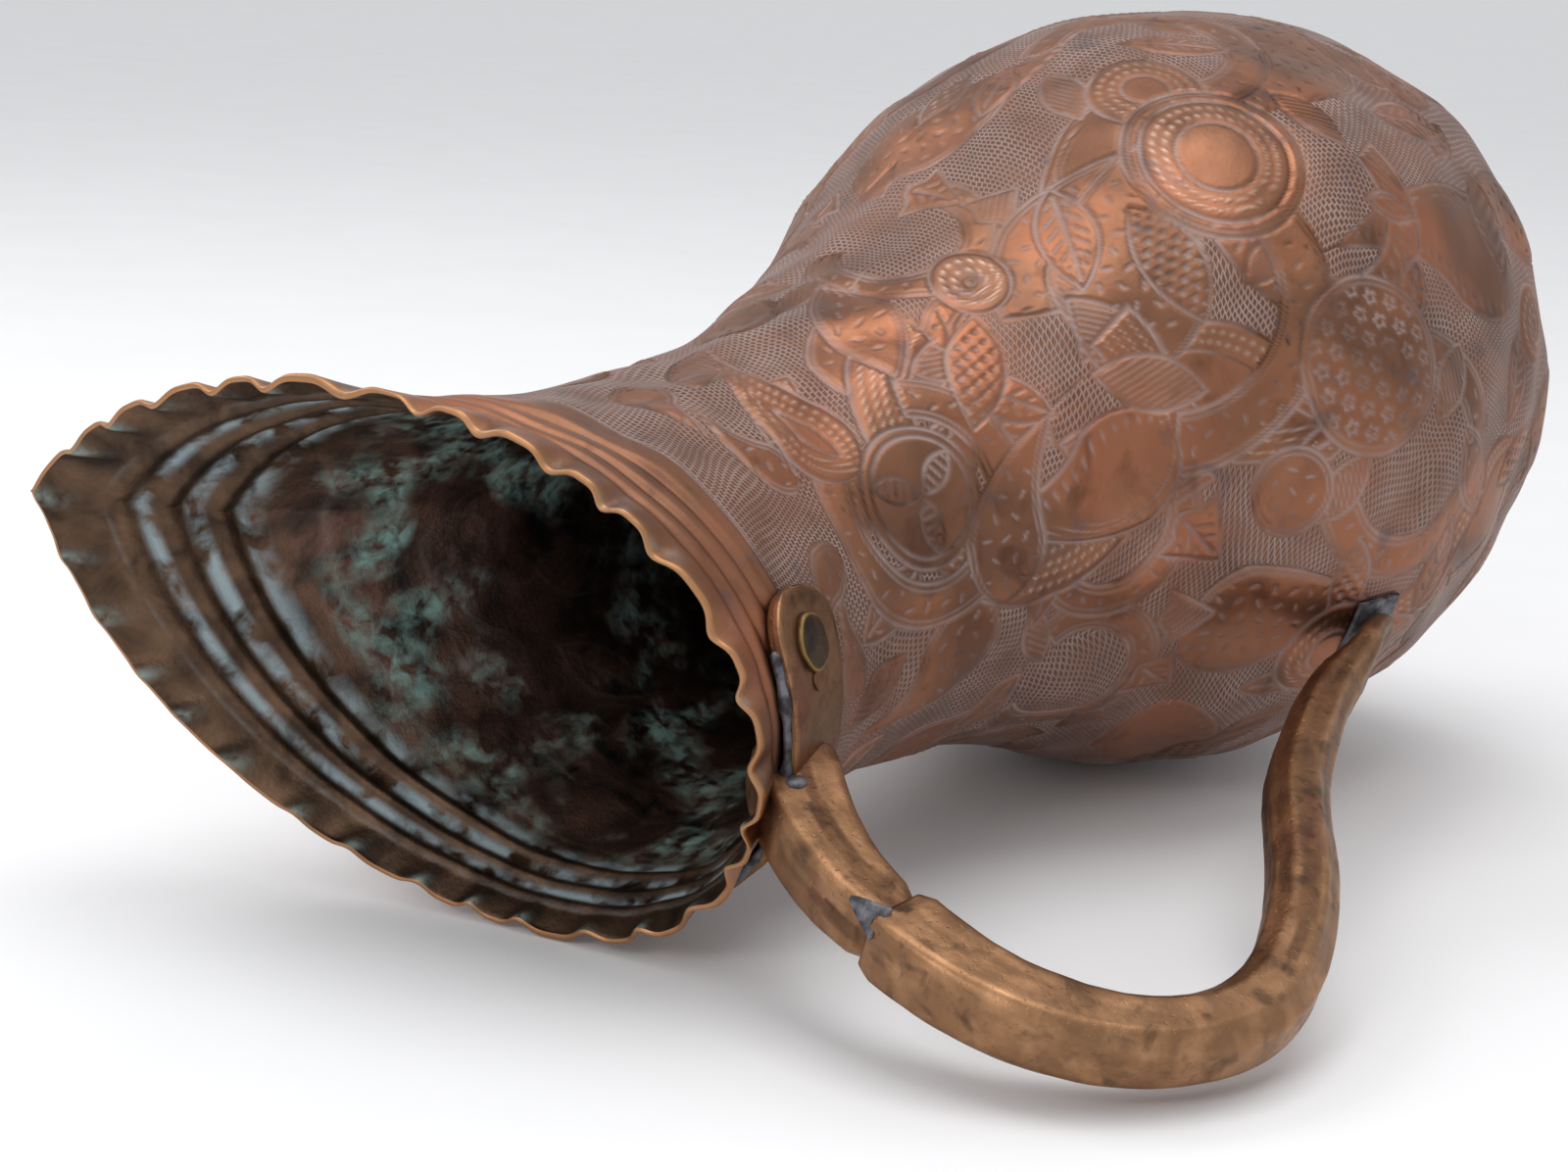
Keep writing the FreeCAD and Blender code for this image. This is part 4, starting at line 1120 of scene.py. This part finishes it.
# %% Handle bronze
def handle_bronze():
    material, node, place = start_material("handle_bronze")
    worn_edge_highlight = node("Attribute", out="Fac", attribute_name="worn_edge_highlight")
    base = layer(node, "543B2D", "785740", patches(node, place, 20.0, 0.35, 0.65, 4.0, 0.6, 2.0))
    base = layer(node, base, "7C4C40", patches(node, place, 16.0, 0.54, 0.66, 4.0, 0.5, 5.0), 0.5)
    base = layer(node, base, "453325", patches(node, place, 2.6, 0.58, 0.68, 3.0, 0.2, 9.0), 0.7)
    rubbed = node("Math", {0: patches(node, place, 6.0, 0.45, 0.65, 5.0, 0.2, 12.0), 1: 0.5, 2: 0.35},
                  operation="MULTIPLY_ADD")
    # Lighter along the edges: a painted highlight on the ridges as well as rubbing.
    base = layer(node, base, "B58A66", worn_edge_highlight, rubbed)
    base = layer(node, base, "9A7350", patches(node, place, 3.2, 0.35, 0.65, 6.0, 0.3, 27.0), 0.35)
    base = layer(node, base, "3E3029", patches(node, place, 5.0, 0.55, 0.68, 6.0, 0.5, 29.0), 0.55)
    roughness = node("Math", {0: patches(node, place, 9.0, 0.3, 0.7, 4.0, 0.2, 15.0), 1: 0.16, 2: 0.38},
                     operation="MULTIPLY_ADD")
    grain = node("TexNoise", {"Vector": place, "Scale": 0.8, "Detail": 5.0, "Roughness": 0.65})
    pits = patches(node, place, 0.9, 0.62, 0.72, 2.0, 0.0, 19.0)
    height = node("Math", {0: grain, 1: pits}, operation="SUBTRACT")
    finish_metal(node, base, roughness, 1.0, height, 0.6, 0.00014)
    return material


bronze = handle_bronze()
for item in (bar, stem, strap, plug):
    item.data.materials.append(bronze)
print(bronze.name, "on", len(bronze.node_tree.nodes), "nodes")


# %% [markdown]
# **Dark iron-brown rivet**, **lead solder**, and **brass braze** are small, so each is one
# colour broken by noise, with its own roughness: a rivet is dull with a rubbed rim, solder
# is grey and waxy, and braze is yellow.

# %% The small finishes
def plain_metal(name, first, second, rough, metallic, size, rim=None):
    material, node, place = start_material(name)
    base = layer(node, first, second, patches(node, place, size, 0.38, 0.62, 4.0, 0.4, 1.0))
    if rim:
        base = layer(node, base, rim, node("Attribute", out="Fac", attribute_name="rim"), 0.8)
    dull = patches(node, place, size * 0.7, 0.3, 0.7, 3.0, 0.2, 4.0)
    roughness = node("Math", {0: dull, 1: 0.2, 2: rough}, operation="MULTIPLY_ADD")
    grain = node("TexNoise", {"Vector": place, "Scale": 1.0, "Detail": 4.0, "Roughness": 0.65})
    finish_metal(node, base, roughness, metallic, grain, 0.8, 0.0002)
    return material


rivet_finish = plain_metal("dark_rivet", "2B241E", "4A3B2C", 0.30, 0.9, 5.0, rim="A8844C")
solder_finish = plain_metal("grey_lead_solder", "37353A", "74747A", 0.42, 0.6, 2.4)
braze_finish = plain_metal("brass_braze", "7A5F34", "A07F45", 0.38, 1.0, 3.0)
base_finish = plain_metal("base_copper", "6E432F", "94593D", 0.40, 1.0, 14.0)
for item in rivet_parts:
    item.data.materials.append(rivet_finish)
for item in (seam, pool, notch_solder):
    item.data.materials.append(solder_finish)
for node, finish in (("base_disc", base_finish), ("base_seam_braze", braze_finish),
                     ("foot_solder", solder_finish)):
    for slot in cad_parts[node].material_slots:
        slot.material = finish
print("all finishes ready")

# %% [markdown]
# The jug lies on its side on a white sheet, resting on the lip, the belly and the bar. The
# sheet touches its lowest points, so its height is measured from the meshes.

# %% The floor
DOWN = Vector((-0.344, 0.923, 0.173)).normalized()
AWAY = Vector((0.4738, 0.5634, -0.6768))
AWAY = (AWAY - DOWN * AWAY.dot(DOWN)).normalized()
RIGHT = AWAY.cross(-DOWN).normalized()
lowest = 0.0
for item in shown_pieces():
    spots = np.empty(len(item.data.vertices) * 3, dtype=np.float32)
    item.data.vertices.foreach_get("co", spots)
    lowest = max(lowest, float((spots.reshape(-1, 3) @ np.array(DOWN)).max()))
floor_level = lowest + 0.0002
print("the floor is", round(floor_level / MM, 1), "mm below the jug's origin")
middle = Vector((0.03, 0.0, 0.146))
middle = middle + DOWN * (floor_level - middle.dot(DOWN))
FLOOR_HALF = 30.0
corners = [middle + RIGHT * across * FLOOR_HALF + AWAY * along * FLOOR_HALF
           for across, along in ((-1, -1), (1, -1), (1, 1), (-1, 1))]
floor = make_mesh("floor", [tuple(corner / MM) for corner in corners], [[0, 1, 2, 3]], smooth=False)
if floor.data.polygons[0].normal.dot(DOWN) > 0:
    floor.data.flip_normals()
paper, node, place = start_material("white_sheet")
fibre = node("TexNoise", {"Vector": place, "Scale": 0.02, "Detail": 3.0})
tint = layer(node, "E9E9EA", "EFEFF0", fibre)
shader = node("BsdfPrincipled", {"Base Color": tint, "Roughness": 0.7, "Specular IOR Level": 0.2})
from_below = overlap(node, node("NewGeometry", out="Backfacing"), node("LightPath", out="Is Camera Ray"))
one_sided = node("MixShader", {0: from_below, 1: shader, 2: node("BsdfTransparent")})
node("OutputMaterial", {"Surface": one_sided})
floor.data.materials.append(paper)

# %% [markdown]
# A big soft lamp overhead and behind gives the long soft highlights, a weaker one fills from
# the left, and a pale surround does the rest, as in a small light tent.

# %% Lights and surround
SCENE_MIDDLE = Vector((0.0, 0.0, 0.146))


def soft_lamp(name, right, up, away, size, power):
    """An area lamp placed from the middle of the scene, aimed back at it. Distances are in metres."""
    data = bpy.data.lights.new(name, "AREA")
    data.shape = "RECTANGLE"
    data.size, data.size_y = size
    data.energy = power
    lamp = bpy.data.objects.new(name, data)
    lamp.location = SCENE_MIDDLE + RIGHT * right - DOWN * up + AWAY * away
    lamp.rotation_mode = "QUATERNION"
    lamp.rotation_quaternion = (lamp.location - SCENE_MIDDLE).to_track_quat("Z", "Y")
    bpy.context.scene.collection.objects.link(lamp)


soft_lamp("overhead_softbox", 0.10, 1.2, -0.14, (0.9, 0.7), 6.2)
soft_lamp("left_softbox", -0.8, 0.9, 0.3, (0.5, 0.5), 3.0)
soft_lamp("mouth_fill", -0.45, 0.55, -0.9, (0.3, 0.3), 2.0)
world = bpy.data.worlds.new("pale_surround")
bpy.context.scene.world = world
world.use_nodes = True
surround = world.node_tree.nodes["Background"].inputs
surround["Color"].default_value = linear("F4F5F7")
surround["Strength"].default_value = 0.84
print("three soft lamps and a pale surround")

# %% The camera
camera_data = bpy.data.cameras.new("camera")
camera_data.lens = 62.0
camera_data.sensor_width = 36.0
camera = bpy.data.objects.new("camera", camera_data)
bpy.context.scene.collection.objects.link(camera)
right = Vector((-0.7204, -0.1939, -0.6659))
below = Vector((-0.5064, 0.8031, 0.3140))
forward = Vector((0.4738, 0.5634, -0.6768))
turn = Matrix((right, -below, -forward)).transposed().to_4x4()
camera.matrix_world = Matrix.Translation(Vector((-0.2544, -0.2927, 0.5522))) @ turn
bpy.context.scene.camera = camera
bpy.context.scene.view_settings.view_transform = "Standard"
print("camera at", tuple(round(value, 3) for value in camera.location))
